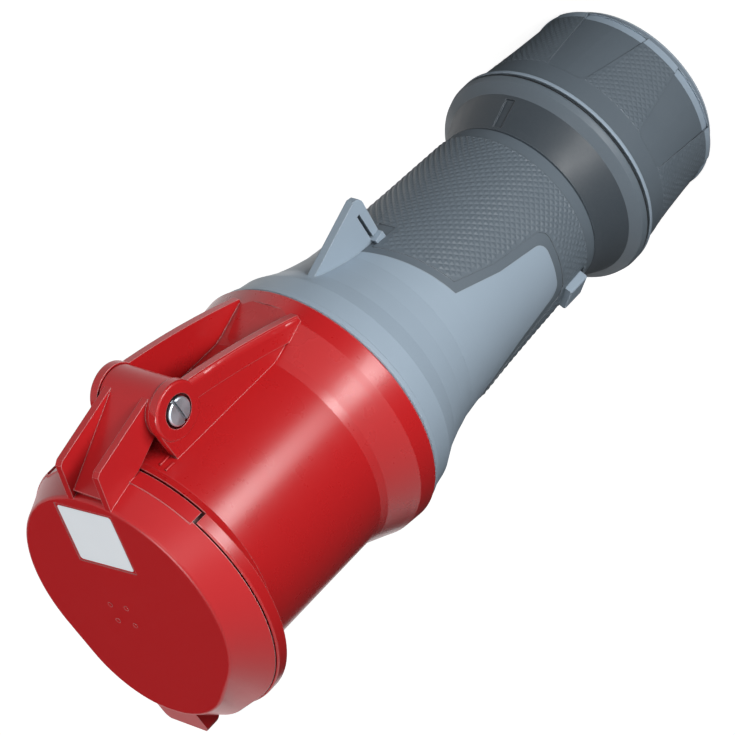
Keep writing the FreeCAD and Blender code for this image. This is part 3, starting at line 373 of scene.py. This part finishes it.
@dataclass(frozen=True)
class Plastic:
    """A moulded plastic or rubber finish."""

    name: str
    colour: Colour
    roughness: float
    grain: Grain
    specular: float = 0.5
    edge_radius: float = 0.00035
    # Share of white in the painted highlight along the edges
    edge_highlight_gain: float = 0.25
    tone_spread: float = 0.06
    gloss_spread: float = 0.08
    bump_strength: float = 0.6
    dust: float = 0.0
    # Colour gain of the painted shade in narrow gaps, slots and corners
    crevice_shade: float = 0.25
    bands: tuple[Band, ...] = ()

    def build(self, effects: EffectLibrary) -> bpy.types.Material:
        """Make the material.

        Args:
            effects: shared shader groups.

        Returns:
            The material.
        """
        material, graph, shader = new_material(self.name)
        skin = graph.add("ShaderNodeGroup", node_tree=effects.skin)
        skin.inputs["Grain Size"].default_value = self.grain.size
        edge = graph.add("ShaderNodeGroup", node_tree=effects.edge)
        edge.inputs["Radius"].default_value = self.edge_radius
        tint = self._tint(graph, effects, skin.outputs["Tone"], edge.outputs["Edge"])
        graph.join(tint, shader.inputs["Base Color"])
        half = self.gloss_spread / 2
        limits = (self.roughness - half, self.roughness + half)
        gloss = graph.remap(skin.outputs["Gloss"], SMEAR_RANGE, limits)
        graph.join(gloss, shader.inputs["Roughness"])
        bump = graph.add(
            "ShaderNodeBump",
            {
                "Height": skin.outputs["Height"],
                "Normal": edge.outputs["Normal"],
                "Strength": self.bump_strength,
                "Distance": self.grain.depth,
            },
        )
        graph.join(bump.outputs[0], shader.inputs["Normal"])
        shader.inputs["Specular IOR Level"].default_value = self.specular
        return material

    def _tint(
        self,
        graph: Graph,
        effects: EffectLibrary,
        tone: bpy.types.NodeSocket,
        edge: bpy.types.NodeSocket,
    ) -> bpy.types.NodeSocket:
        """Lay the colours over each other: tone, bands, painted highlight along the edges, dust
        and painted shade in the corners.

        Args:
            graph: the material's graph.
            effects: shared shader groups.
            tone: slow change of tone.
            edge: mask of the edges.

        Returns:
            The colour.
        """
        low = opaque(self.colour, 1 - self.tone_spread)
        tint = graph.mix(tone, low, opaque(self.colour, 1 + self.tone_spread))
        for band in self.bands:
            stretch = graph.add("ShaderNodeGroup", node_tree=effects.band)
            stretch.inputs["Low"].default_value = band.low
            stretch.inputs["High"].default_value = band.high
            tint = graph.mix(stretch.outputs["Mask"], tint, opaque(band.colour))
        # Painted highlight: a lighter copy of the colour along the sharp edges
        edge_highlight = tuple(part + (1 - part) * self.edge_highlight_gain for part in self.colour)
        tint = graph.mix(edge, tint, opaque(edge_highlight))
        dust = graph.add("ShaderNodeGroup", node_tree=effects.dust)
        dust.inputs["Cover"].default_value = self.dust
        tint = graph.mix(dust.outputs["Mask"], tint, opaque(DUST_COLOUR))
        # Painted shade: the colour darkened in narrow gaps, slots and corners
        corner = graph.add("ShaderNodeGroup", node_tree=effects.crevice_shade)
        return graph.mix(corner.outputs["Mask"], tint, opaque(self.colour, self.crevice_shade))


@dataclass(frozen=True)
class Metal:
    """A turned or plated metal finish, with fine lines round the axis."""

    name: str
    colour: Colour
    roughness: float
    gloss_limits: tuple[float, float] = (-0.06, 0.08)
    tone_gains: tuple[float, float] = (0.82, 1.08)
    grain_size: float = 0.3
    edge_radius: float = 0.00015
    line_noise: tuple[float, float] = (400.0, 3.0)
    line_squeeze: Point = (1.0, 1.0, 9.0)
    line_strength: float = 0.35
    line_depth: float = 0.00002
    # Colour gain of the painted shade in narrow gaps, slots and corners
    crevice_shade: float = 0.06

    def build(self, effects: EffectLibrary) -> bpy.types.Material:
        """Make the material.

        Args:
            effects: shared shader groups.

        Returns:
            The material.
        """
        material, graph, shader = new_material(self.name)
        shader.inputs["Metallic"].default_value = 1.0
        skin = graph.add("ShaderNodeGroup", node_tree=effects.skin)
        skin.inputs["Grain Size"].default_value = self.grain_size
        edge = graph.add("ShaderNodeGroup", node_tree=effects.edge)
        edge.inputs["Radius"].default_value = self.edge_radius
        squeeze = graph.add(
            "ShaderNodeMapping", {"Vector": graph.place(), "Scale": self.line_squeeze}
        )
        lines = graph.noise(squeeze.outputs[0], *self.line_noise)
        low, high = (opaque(self.colour, gain) for gain in self.tone_gains)
        # Painted shade: the colour darkened in narrow gaps, slots and corners
        corner = graph.add("ShaderNodeGroup", node_tree=effects.crevice_shade)
        crevice_shade_colour = opaque(self.colour, self.crevice_shade)
        tint = graph.mix(corner.outputs["Mask"], graph.mix(lines, low, high), crevice_shade_colour)
        graph.join(tint, shader.inputs["Base Color"])
        limits = tuple(self.roughness + change for change in self.gloss_limits)
        gloss = graph.remap(skin.outputs["Gloss"], SMEAR_RANGE, limits)
        graph.join(gloss, shader.inputs["Roughness"])
        bump = graph.add(
            "ShaderNodeBump",
            {
                "Height": lines,
                "Normal": edge.outputs["Normal"],
                "Strength": self.line_strength,
                "Distance": self.line_depth,
            },
        )
        graph.join(bump.outputs[0], shader.inputs["Normal"])
        return material


Finish = Plastic | Metal

RED_SHELL = Plastic(
    name="red_shell_finish",
    colour=(0.44, 0.011, 0.013),
    roughness=0.28,
    grain=Grain.POLISHED,
    edge_highlight_gain=0.3,
    tone_spread=0.03,
    gloss_spread=0.03,
    crevice_shade=0.06,
)
RED_LID = replace(
    RED_SHELL,
    name="red_lid_finish",
    colour=(0.46, 0.013, 0.016),
    roughness=0.33,
    specular=0.4,
)
LIGHT_GREY = Plastic(
    name="light_grey_finish",
    colour=(0.285, 0.355, 0.425),
    roughness=0.42,
    grain=Grain.SPARK,
    specular=0.4,
    edge_highlight_gain=0.15,
)
DARK_GRIP = Plastic(
    name="dark_grip_finish",
    colour=(0.108, 0.136, 0.162),
    roughness=0.46,
    grain=Grain.RUBBER,
    specular=0.35,
    edge_highlight_gain=0.06,
    dust=0.05,
)
# Painted shade darkens the collar's cone, and a near-black painted shadow line fills the gap near
# its rim
GRIP_COVER = replace(
    DARK_GRIP,
    name="grip_cover_finish",
    bands=(
        Band(0.0548, 0.0681, (0.03, 0.041, 0.052)),
        Band(0.0490, 0.0498, (0.008, 0.010, 0.012)),
    ),
)
# The nut's light rear end
NUT_COVER = replace(
    DARK_GRIP,
    name="nut_cover_finish",
    bands=(Band(-0.01, 0.0077, LIGHT_GREY.colour),),
)
SEAL_RUBBER = Plastic("seal_rubber_finish", (0.02, 0.02, 0.022), 0.6, Grain.RUBBER, dust=0.15)
INSULATOR = Plastic("insulator_finish", (0.035, 0.036, 0.04), 0.45, Grain.SPARK)
STEEL = Metal("plated_steel_finish", (0.72, 0.80, 0.88), 0.42)
BRASS = Metal("contact_brass_finish", (0.78, 0.60, 0.33), 0.3)
LABEL = Plastic(
    name="rating_plate_finish",
    colour=(0.86, 0.90, 0.94),
    roughness=0.42,
    grain=Grain.POLISHED,
    edge_highlight_gain=0.1,
    tone_spread=0.03,
)

NODE_FINISHES: dict[str, Finish] = {
    "front_housing": RED_SHELL,
    "lid": RED_LID,
    "lid_gasket": SEAL_RUBBER,
    "hinge_pin": STEEL,
    "hinge_nut": STEEL,
    "lid_spring": STEEL,
    "contact_carrier": INSULATOR,
    "terminal_block": INSULATOR,
    "contact_earth": BRASS,
    "contact_l1": BRASS,
    "contact_l2": BRASS,
    "contact_l3": BRASS,
    "contact_neutral": BRASS,
    "contact_pilot": BRASS,
    "terminal_screws": STEEL,
    "contact_plate": INSULATOR,
    "plate_screws": STEEL,
    "rear_housing": LIGHT_GREY,
    "grip_cover": GRIP_COVER,
    "gland_lock": LIGHT_GREY,
    "housing_gasket": SEAL_RUBBER,
    "gland_seal": SEAL_RUBBER,
    "clamp_cage": LIGHT_GREY,
    "gland_ring": LIGHT_GREY,
    "gland_nut": LIGHT_GREY,
    "nut_grip": NUT_COVER,
}


class Wardrobe:
    """Builds each finish once and hands it out."""

    def __init__(self) -> None:
        """Build the shared groups; finishes are made when first asked for."""
        self.effects = EffectLibrary()
        self.made: dict[str, bpy.types.Material] = {}

    def dress(self, piece: bpy.types.Object, finish: Finish) -> None:
        """Give a piece one finish.

        Args:
            piece: the object to dress.
            finish: its finish.
        """
        if finish.name not in self.made:
            self.made[finish.name] = finish.build(self.effects)
        piece.data.materials.clear()
        piece.data.materials.append(self.made[finish.name])


# Modelling helpers

# Height below which two places along the axis count as the same, in metres
SAME_HEIGHT = 1e-5
# Least z of the normal of a face that looks up
LOOKS_UP = 0.9


def deselect() -> None:
    """Leave edit mode and select nothing."""
    if bpy.context.object and bpy.context.object.mode != "OBJECT":
        bpy.ops.object.mode_set(mode="OBJECT")
    bpy.ops.object.select_all(action="DESELECT")


def finish_piece(piece: bpy.types.Object, name: str, smooth_angle: float) -> None:
    """Name a piece, put its place in its mesh and set its shading.

    Args:
        piece: the object that was modelled.
        name: its name.
        smooth_angle: angle in degrees under which faces are shaded smooth.
    """
    deselect()
    bpy.context.view_layer.objects.active = piece
    piece.select_set(True)
    bpy.ops.object.transform_apply(location=True, rotation=True, scale=True)
    bpy.ops.object.shade_smooth_by_angle(angle=math.radians(smooth_angle))
    piece.name = piece.data.name = name
    deselect()


def select_verts(piece: bpy.types.Object, wanted: Callable[[bmesh.types.BMVert], bool]) -> None:
    """Select only the vertices that a test accepts."""
    _select(piece, "VERT", wanted)


def select_edges(piece: bpy.types.Object, wanted: Callable[[bmesh.types.BMEdge], bool]) -> None:
    """Select only the edges that a test accepts."""
    _select(piece, "EDGE", wanted)


def select_faces(piece: bpy.types.Object, wanted: Callable[[bmesh.types.BMFace], bool]) -> None:
    """Select only the faces that a test accepts."""
    _select(piece, "FACE", wanted)


def _select(piece: bpy.types.Object, mode: str, wanted: Callable) -> None:
    """Select by one kind of element.

    Args:
        piece: the object, in edit mode.
        mode: VERT, EDGE or FACE.
        wanted: test for one element.
    """
    bpy.ops.mesh.select_mode(type=mode)
    bpy.ops.mesh.select_all(action="DESELECT")
    body = bmesh.from_edit_mesh(piece.data)
    for element in {"VERT": body.verts, "EDGE": body.edges, "FACE": body.faces}[mode]:
        element.select_set(wanted(element))
    bmesh.update_edit_mesh(piece.data)


# Sub-assemblies


class SurfaceProbe:
    """Measures a round piece from outside, towards the axis."""

    def __init__(self, piece: bpy.types.Object) -> None:
        """Index the piece's surface."""
        self.tree = BVHTree.FromObject(piece, bpy.context.evaluated_depsgraph_get())

    def radius(self, angle: float, z: float, start: float = 0.06) -> float:
        """Find the outer radius at one place.

        Args:
            angle: angle round the axis in radians, from +X.
            z: station along the axis.
            start: radius from which the probe sets out.

        Returns:
            The radius, or 0 where the probe meets nothing.
        """
        out = Vector((math.cos(angle), math.sin(angle), 0.0))
        hit = self.tree.ray_cast(out * start + Vector((0, 0, z)), -out, start)[0]
        return math.hypot(hit.x, hit.y) if hit else 0.0


@dataclass
class PyramidKnurl:
    """Field of small moulded pyramids on a round cover.

    The cover's radius is measured along one line, at probe_turn degrees. Diamonds that leave that
    radius by more than the tolerance lie off the raised field, and are left out.
    """

    name: str
    node: str
    ride: Ride
    columns: int
    low: float
    high: float
    height: float
    probe_turn: float
    roof_slope: float = 0.0
    inset: float = 0.0002
    tolerance: float = 0.00013
    tested_share: float = 0.7
    smooth_angle: float = 5.0

    def build(
        self, wardrobe: Wardrobe, carrier: bpy.types.Object, finish: Finish
    ) -> bpy.types.Object:
        """Model the pyramids and lay them on their cover.

        Args:
            wardrobe: source of the finish.
            carrier: the cover that carries the field.
            finish: the finish of the pyramids.

        Returns:
            The knurl.
        """
        probe = SurfaceProbe(carrier)
        rows = self._stations(probe)
        sheet = self._grid(rows)
        self._make_diamonds(sheet)
        self._trim(sheet, probe, rows)
        self._raise_points()
        finish_piece(sheet, self.name, self.smooth_angle)
        wardrobe.dress(sheet, finish)
        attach(sheet, self.ride.value)
        return sheet

    def _stations(self, probe: SurfaceProbe) -> list[tuple[float, float]]:
        """Measure the cover's radius at evenly spaced stations.

        Args:
            probe: probe on the cover.

        Returns:
            Station and radius of each row of the grid.
        """
        turn = math.radians(self.probe_turn)
        middle = probe.radius(turn, (self.low + self.high) / 2)
        count = round((self.high - self.low) / (2 * math.pi * middle / self.columns))
        step = (self.high - self.low) / count
        rows = []
        for number in range(count + 1):
            station = self.low + number * step
            measured = min(max(station, self.low + self.inset), self.high - self.inset)
            rows.append((station, probe.radius(turn, measured)))
        return rows

    def _grid(self, rows: list[tuple[float, float]]) -> bpy.types.Object:
        """Make a tube of square cells that follows the measured radii.

        Args:
            rows: station and radius of each row.

        Returns:
            The tube, in edit mode.
        """
        deselect()
        bpy.ops.mesh.primitive_cylinder_add(
            vertices=self.columns,
            radius=rows[0][1],
            depth=self.high - self.low,
            end_fill_type="NOTHING",
            location=(0.0, 0.0, (self.low + self.high) / 2),
        )
        sheet = bpy.context.object
        bpy.ops.object.transform_apply(location=True, rotation=True, scale=True)
        bpy.ops.object.mode_set(mode="EDIT")
        select_edges(
            sheet, lambda edge: abs(edge.verts[0].co.z - edge.verts[1].co.z) > SAME_HEIGHT
        )
        bpy.ops.mesh.subdivide(number_cuts=len(rows) - 2)
        for station, radius in rows:
            scale = radius / rows[0][1]
            select_verts(sheet, lambda vert: abs(vert.co.z - station) < SAME_HEIGHT)
            bpy.ops.transform.resize(
                value=(scale, scale, 1.0), center_override=(0.0, 0.0, station)
            )
        return sheet

    @staticmethod
    def _make_diamonds(sheet: bpy.types.Object) -> None:
        """Turn the square cells into a diamond lattice.

        Args:
            sheet: the tube, in edit mode.
        """
        corners = len(bmesh.from_edit_mesh(sheet.data).verts)
        bpy.ops.mesh.select_all(action="SELECT")
        bpy.ops.mesh.poke()
        select_edges(
            sheet,
            lambda edge: not edge.is_boundary and max(vert.index for vert in edge.verts) < corners,
        )
        bpy.ops.mesh.dissolve_edges(use_verts=False)

    def _trim(
        self, sheet: bpy.types.Object, probe: SurfaceProbe, rows: list[tuple[float, float]]
    ) -> None:
        """Delete the diamonds that don't lie on the raised field.

        Args:
            sheet: the lattice, in edit mode.
            probe: probe on the cover.
            rows: station and radius of each row.
        """
        step = rows[1][0] - rows[0][0]
        # Just short of the last row, so that there is always a row above
        last_place = len(rows) - 1.001

        def off_field(face: bmesh.types.BMFace) -> bool:
            """Tell whether a diamond leaves the field.

            Args:
                face: the diamond.

            Returns:
                True if its middle, or a point towards one of its corners, is off the field.
            """
            centre = face.calc_center_median()
            corners = [centre.lerp(vert.co, self.tested_share) for vert in face.verts]
            for point in [centre] + corners:
                place = min(max((point.z - self.low) / step, 0.0), last_place)
                low, share = int(place), place - int(place)
                expected = rows[low][1] * (1 - share) + rows[low + 1][1] * share
                found = probe.radius(math.atan2(point.y, point.x), point.z)
                if abs(found - expected) > self.tolerance:
                    return True
            return False

        select_faces(sheet, off_field)
        bpy.ops.mesh.delete(type="FACE")

    def _raise_points(self) -> None:
        """Raise each diamond to a pyramid and cut the field's upper border."""
        bpy.ops.mesh.select_all(action="SELECT")
        bpy.ops.mesh.poke(offset=self.height)
        for side in (1.0, -1.0):
            bpy.ops.mesh.select_all(action="SELECT")
            bpy.ops.mesh.bisect(
                plane_co=(0.0, 0.0, self.high),
                plane_no=(side * self.roof_slope, 0.0, 1.0),
                clear_outer=True,
            )
        bpy.ops.object.mode_set(mode="OBJECT")


@dataclass
class RatingPlate:
    """Bare rating plate in the lid's recess."""

    width: float = 0.0238
    height: float = 0.0221
    thickness: float = 0.00015
    corner: float = 0.0011
    corner_segments: int = 5
    centre: tuple[float, float] = (0.0035, -0.0248)
    turn: float = 4.5
    recess: float = 0.00025
    smooth_angle: float = 30.0

    def build(self, wardrobe: Wardrobe, lid_top: float) -> bpy.types.Object:
        """Model the plate and lay it in the recess.

        Args:
            wardrobe: source of the finish.
            lid_top: height of the lid's face.

        Returns:
            The plate.
        """
        deselect()
        bpy.ops.mesh.primitive_plane_add(size=1.0)
        plate = bpy.context.object
        bpy.ops.object.mode_set(mode="EDIT")
        bpy.ops.transform.resize(value=(self.width, self.height, 1.0))
        bpy.ops.mesh.bevel(offset=self.corner, segments=self.corner_segments, affect="VERTICES")
        bpy.ops.mesh.select_all(action="SELECT")
        bpy.ops.mesh.extrude_region_move(TRANSFORM_OT_translate={"value": (0, 0, self.thickness)})
        bpy.ops.mesh.select_all(action="SELECT")
        bpy.ops.mesh.normals_make_consistent(inside=False)
        bpy.ops.object.mode_set(mode="OBJECT")
        plate.rotation_euler = (0, 0, math.radians(self.turn))
        plate.location = (self.centre[0], self.centre[1], lid_top - self.recess)
        finish_piece(plate, "rating_plate", self.smooth_angle)
        wardrobe.dress(plate, LABEL)
        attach(plate, Ride.LID.value)
        return plate


@dataclass
class GateMarks:
    """Small round marks in the middle of the lid, left by the mould."""

    places: tuple[tuple[float, float], ...] = (
        (0.0089, 0.0050),
        (0.0016, 0.0042),
        (0.0081, 0.0116),
        (0.0004, 0.0111),
    )
    radius: float = 0.0010
    height: float = 0.00016
    vertices: int = 20
    rim_share: float = 0.35
    dish_share: float = 0.8
    smooth_angle: float = 30.0

    def build(self, wardrobe: Wardrobe, lid_top: float) -> list[bpy.types.Object]:
        """Model one mark and copy it to each place.

        Args:
            wardrobe: source of the finish.
            lid_top: height of the lid's face.

        Returns:
            The marks.
        """
        first = self._mark(lid_top)
        wardrobe.dress(first, RED_LID)
        marks = [first]
        for number in range(2, len(self.places) + 1):
            copy = first.copy()
            copy.data = first.data.copy()
            copy.name = copy.data.name = f"gate_mark_{number}"
            bpy.context.scene.collection.objects.link(copy)
            marks.append(copy)
        for piece, (x, y) in zip(marks, self.places):
            piece.data.transform(Matrix.Translation((x, y, 0.0)))
            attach(piece, Ride.LID.value)
        return marks

    def _mark(self, lid_top: float) -> bpy.types.Object:
        """Model a low rim with a dish in it, on the axis.

        Args:
            lid_top: height of the lid's face.

        Returns:
            The mark.
        """
        deselect()
        bpy.ops.mesh.primitive_cylinder_add(
            vertices=self.vertices,
            radius=self.radius,
            depth=2 * self.height,
            location=(0.0, 0.0, lid_top),
        )
        mark = bpy.context.object
        bpy.ops.object.mode_set(mode="EDIT")
        select_faces(mark, lambda face: face.normal.z > LOOKS_UP)
        bpy.ops.mesh.inset(thickness=self.radius * self.rim_share)
        bpy.ops.transform.translate(value=(0.0, 0.0, -self.height * self.dish_share))
        bpy.ops.object.mode_set(mode="OBJECT")
        finish_piece(mark, "gate_mark_1", self.smooth_angle)
        return mark


@dataclass
class CatchRibs:
    """Short moulded ribs on the shell, at the foot of the near ear.

    Each rib is given as its turn from -Y in degrees and its lower and upper end.
    """

    ribs: tuple[tuple[float, float, float], ...] = (
        (-15.0, 0.2513, 0.2573),
        (-18.8, 0.2540, 0.2580),
    )
    radius: float = 0.0424
    width: float = 0.0008
    height: float = 0.0005
    rounding_share: float = 0.35
    rounding_segments: int = 3
    smooth_angle: float = 30.0

    def build(self, wardrobe: Wardrobe) -> list[bpy.types.Object]:
        """Model the ribs.

        Args:
            wardrobe: source of the finish.

        Returns:
            The ribs.
        """
        made = []
        for number, (turn, low, high) in enumerate(self.ribs, start=1):
            rib = self._rib(high - low)
            angle = math.radians(turn)
            x, y = self.radius * math.sin(angle), -self.radius * math.cos(angle)
            rib.rotation_euler = (0.0, 0.0, angle)
            rib.location = (x, y, (low + high) / 2)
            finish_piece(rib, f"catch_rib_{number}", self.smooth_angle)
            wardrobe.dress(rib, RED_SHELL)
            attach(rib, Ride.HOUSING.value)
            made.append(rib)
        return made

    def _rib(self, length: float) -> bpy.types.Object:
        """Model a bar with rounded outer edges, at the origin.

        Args:
            length: its length along the axis.

        Returns:
            The bar.
        """
        deselect()
        bpy.ops.mesh.primitive_cube_add(size=1.0)
        rib = bpy.context.object
        bpy.ops.object.mode_set(mode="EDIT")
        bpy.ops.transform.resize(value=(self.width, 2 * self.height, length))
        select_edges(rib, lambda edge: all(vert.co.y < 0 for vert in edge.verts))
        bpy.ops.mesh.bevel(
            offset=self.width * self.rounding_share, segments=self.rounding_segments
        )
        bpy.ops.object.mode_set(mode="OBJECT")
        return rib


KNURLS = (
    PyramidKnurl(
        name="grip_knurl",
        node="grip_cover",
        ride=Ride.HOUSING,
        columns=76,
        low=0.0733,
        high=0.1399,
        height=0.00032,
        probe_turn=90.0,
        roof_slope=0.3,
    ),
    PyramidKnurl(
        name="nut_knurl",
        node="nut_grip",
        ride=Ride.NUT,
        columns=90,
        low=0.0080,
        high=0.0370,
        height=0.00022,
        probe_turn=-134.4,
    ),
)


# Studio


@dataclass(frozen=True)
class SoftBox:
    """Rectangular lamp, sized in metres, with its power in watts."""

    name: str
    place: Point
    aim: Point
    width: float
    height: float
    power: float

    def hang(self) -> None:
        """Hang the lamp in its place, facing its aim."""
        data = bpy.data.lights.new(self.name, "AREA")
        data.shape = "RECTANGLE"
        data.size, data.size_y, data.energy = self.width, self.height, self.power
        lamp = bpy.data.objects.new(self.name, data)
        lamp.location = self.place
        lamp.rotation_mode = "QUATERNION"
        lamp.rotation_quaternion = (Vector(self.aim) - Vector(self.place)).to_track_quat("-Z", "Y")
        lamp.visible_camera = False
        bpy.context.scene.collection.objects.link(lamp)


@dataclass(frozen=True)
class DarkCard:
    """Dark card that only reflections see."""

    name: str
    size: float
    place: Point
    facing: Point
    colour: Colour = (0.03, 0.03, 0.03)
    roughness: float = 0.9

    def stand(self) -> None:
        """Put the card in its place."""
        deselect()
        turn = Vector(self.facing).to_track_quat("Z", "Y").to_euler()
        bpy.ops.mesh.primitive_plane_add(size=self.size, location=self.place, rotation=turn)
        card = bpy.context.object
        card.name = self.name
        material, _, shader = new_material(self.name)
        shader.inputs["Base Color"].default_value = opaque(self.colour)
        shader.inputs["Roughness"].default_value = self.roughness
        card.data.materials.append(material)
        card.visible_camera = False
        card.visible_shadow = False


@dataclass
class Studio:
    """Floor, sky, lamps and camera.

    Floor and sky look white to camera, glossy and transmission rays, whatever light they give to
    the coupler. Near the coupler the lamps add to the floor's glow, so the glow reaches full white
    only over the distances in glow_reach.
    """

    camera_place: Point = (-0.7997, -0.7684, 0.8478)
    camera_right: Point = (-0.7616, 0.2533, -0.5965)
    camera_up: Point = (0.2175, -0.7672, -0.6034)
    camera_back: Point = (-0.6105, -0.5893, 0.5292)
    camera_clip: tuple[float, float] = (0.05, 50.0)
    focal_pixels: float = 3954.46
    image_side: int = 735
    sensor_width: float = 36.0
    floor_size: float = 30.0
    floor_colour: Colour = (0.50, 0.50, 0.50)
    glow: tuple[float, float] = (0.85, 1.0)
    glow_reach: tuple[float, float] = (0.4, 1.4)
    sky_colour: Colour = (0.97, 0.985, 1.0)
    sky_level: float = 0.08
    white: Colour = (1.0, 1.0, 1.0)
    cards: tuple[DarkCard, ...] = (
        DarkCard("studio_mat", 2.2, (-0.95, -0.25, 0.002), (0.0, 0.0, 1.0)),
        DarkCard("studio_flag", 1.5, (0.95, 0.92, 1.10), (-0.61, -0.59, -0.53)),
    )
    lamps: tuple[SoftBox, ...] = (
        SoftBox("key", (-0.52, -0.62, 0.90), (0.0, 0.0, 0.16), 0.4, 0.4, 2.2),
        SoftBox("strip", (-0.36, -0.25, 0.15), (0.0, 0.0, 0.17), 0.13, 0.30, 1.9),
        SoftBox("top", (0.0, 0.0, 1.3), (0.0, 0.0, 0.2), 0.3, 0.3, 6.0),
    )

    def build(self) -> None:
        """Make the whole studio."""
        self._floor()
        for card in self.cards:
            card.stand()
        self._sky()
        for lamp in self.lamps:
            lamp.hang()
        self._camera()

    def _floor(self) -> None:
        """Lay a plain white floor that keeps the coupler's shadow."""
        deselect()
        bpy.ops.mesh.primitive_plane_add(size=self.floor_size)
        floor = bpy.context.object
        floor.name = "studio_floor"
        material, graph, principled = new_material("studio_floor")
        graph.tree.nodes.remove(principled)
        paper = graph.add("ShaderNodeBsdfDiffuse", {"Color": opaque(self.floor_colour)})
        reach = graph.add("ShaderNodeVectorMath", {0: graph.place()}, operation="LENGTH")
        level = graph.remap(reach.outputs["Value"], self.glow_reach, self.glow)
        glow = graph.add("ShaderNodeEmission", {"Color": opaque(self.white), "Strength": level})
        blank = graph.add("ShaderNodeEmission", {"Strength": 0.0})
        seen = self._looked_at(graph)
        shaders = {0: seen, 1: blank.outputs[0], 2: glow.outputs[0]}
        choice = graph.add("ShaderNodeMixShader", shaders)
        both = graph.add("ShaderNodeAddShader", {0: paper.outputs[0], 1: choice.outputs[0]})
        graph.join(both.outputs[0], graph.tree.nodes["Material Output"].inputs["Surface"])
        floor.data.materials.append(material)

    def _sky(self) -> None:
        """Show a white sky, and light the coupler with a dim one."""
        world = bpy.data.worlds.new("studio_sky")
        bpy.context.scene.world = world
        world.use_nodes = True
        graph = Graph(world.node_tree)
        dim = graph.tree.nodes["Background"]
        dim.inputs["Color"].default_value = opaque(self.sky_colour)
        dim.inputs["Strength"].default_value = self.sky_level
        white = graph.add("ShaderNodeBackground", {"Color": opaque(self.white), "Strength": 1.0})
        seen = self._looked_at(graph)
        sky = graph.add("ShaderNodeMixShader", {0: seen, 1: dim.outputs[0], 2: white.outputs[0]})
        graph.join(sky.outputs[0], graph.tree.nodes["World Output"].inputs["Surface"])

    @staticmethod
    def _looked_at(graph: Graph) -> bpy.types.NodeSocket:
        """Tell the rays that show a background from those that carry light.

        Args:
            graph: the graph to add to.

        Returns:
            A socket that is 1 for camera, glossy and transmission rays.
        """
        rays = graph.add("ShaderNodeLightPath")
        seen = graph.math("MAXIMUM", rays.outputs["Is Camera Ray"], rays.outputs["Is Glossy Ray"])
        return graph.math("MAXIMUM", seen, rays.outputs["Is Transmission Ray"])

    def _camera(self) -> None:
        """Set the camera at the photograph's viewing angle."""
        data = bpy.data.cameras.new("camera")
        data.sensor_width = self.sensor_width
        data.lens = self.focal_pixels / self.image_side * self.sensor_width
        data.clip_start, data.clip_end = self.camera_clip
        camera = bpy.data.objects.new("camera", data)
        axes = Matrix((self.camera_right, self.camera_up, self.camera_back)).transposed()
        camera.matrix_world = Matrix.Translation(self.camera_place) @ axes.to_4x4()
        bpy.context.scene.collection.objects.link(camera)
        bpy.context.scene.camera = camera


def main() -> None:
    """Build the scene piece by piece."""
    logging.basicConfig(level=logging.INFO, format="%(name)s: %(message)s")
    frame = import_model()
    bpy.context.scene.view_settings.view_transform = "Standard"
    wardrobe = Wardrobe()
    for node, finish in NODE_FINISHES.items():
        wardrobe.dress(frame["nodes"][node], finish)
        LOG.info("dressed %s in %s", node, finish.name)
    lid_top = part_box("lid")[1].z
    plate = RatingPlate().build(wardrobe, lid_top)
    for piece in [plate, *GateMarks().build(wardrobe, lid_top), *CatchRibs().build(wardrobe)]:
        LOG.info("added %s", piece.name)
    for knurl in KNURLS:
        knurl.build(wardrobe, frame["nodes"][knurl.node], DARK_GRIP)
        LOG.info("laid %s on %s", knurl.name, knurl.node)
    Studio().build()


if __name__ == "__main__":
    main()
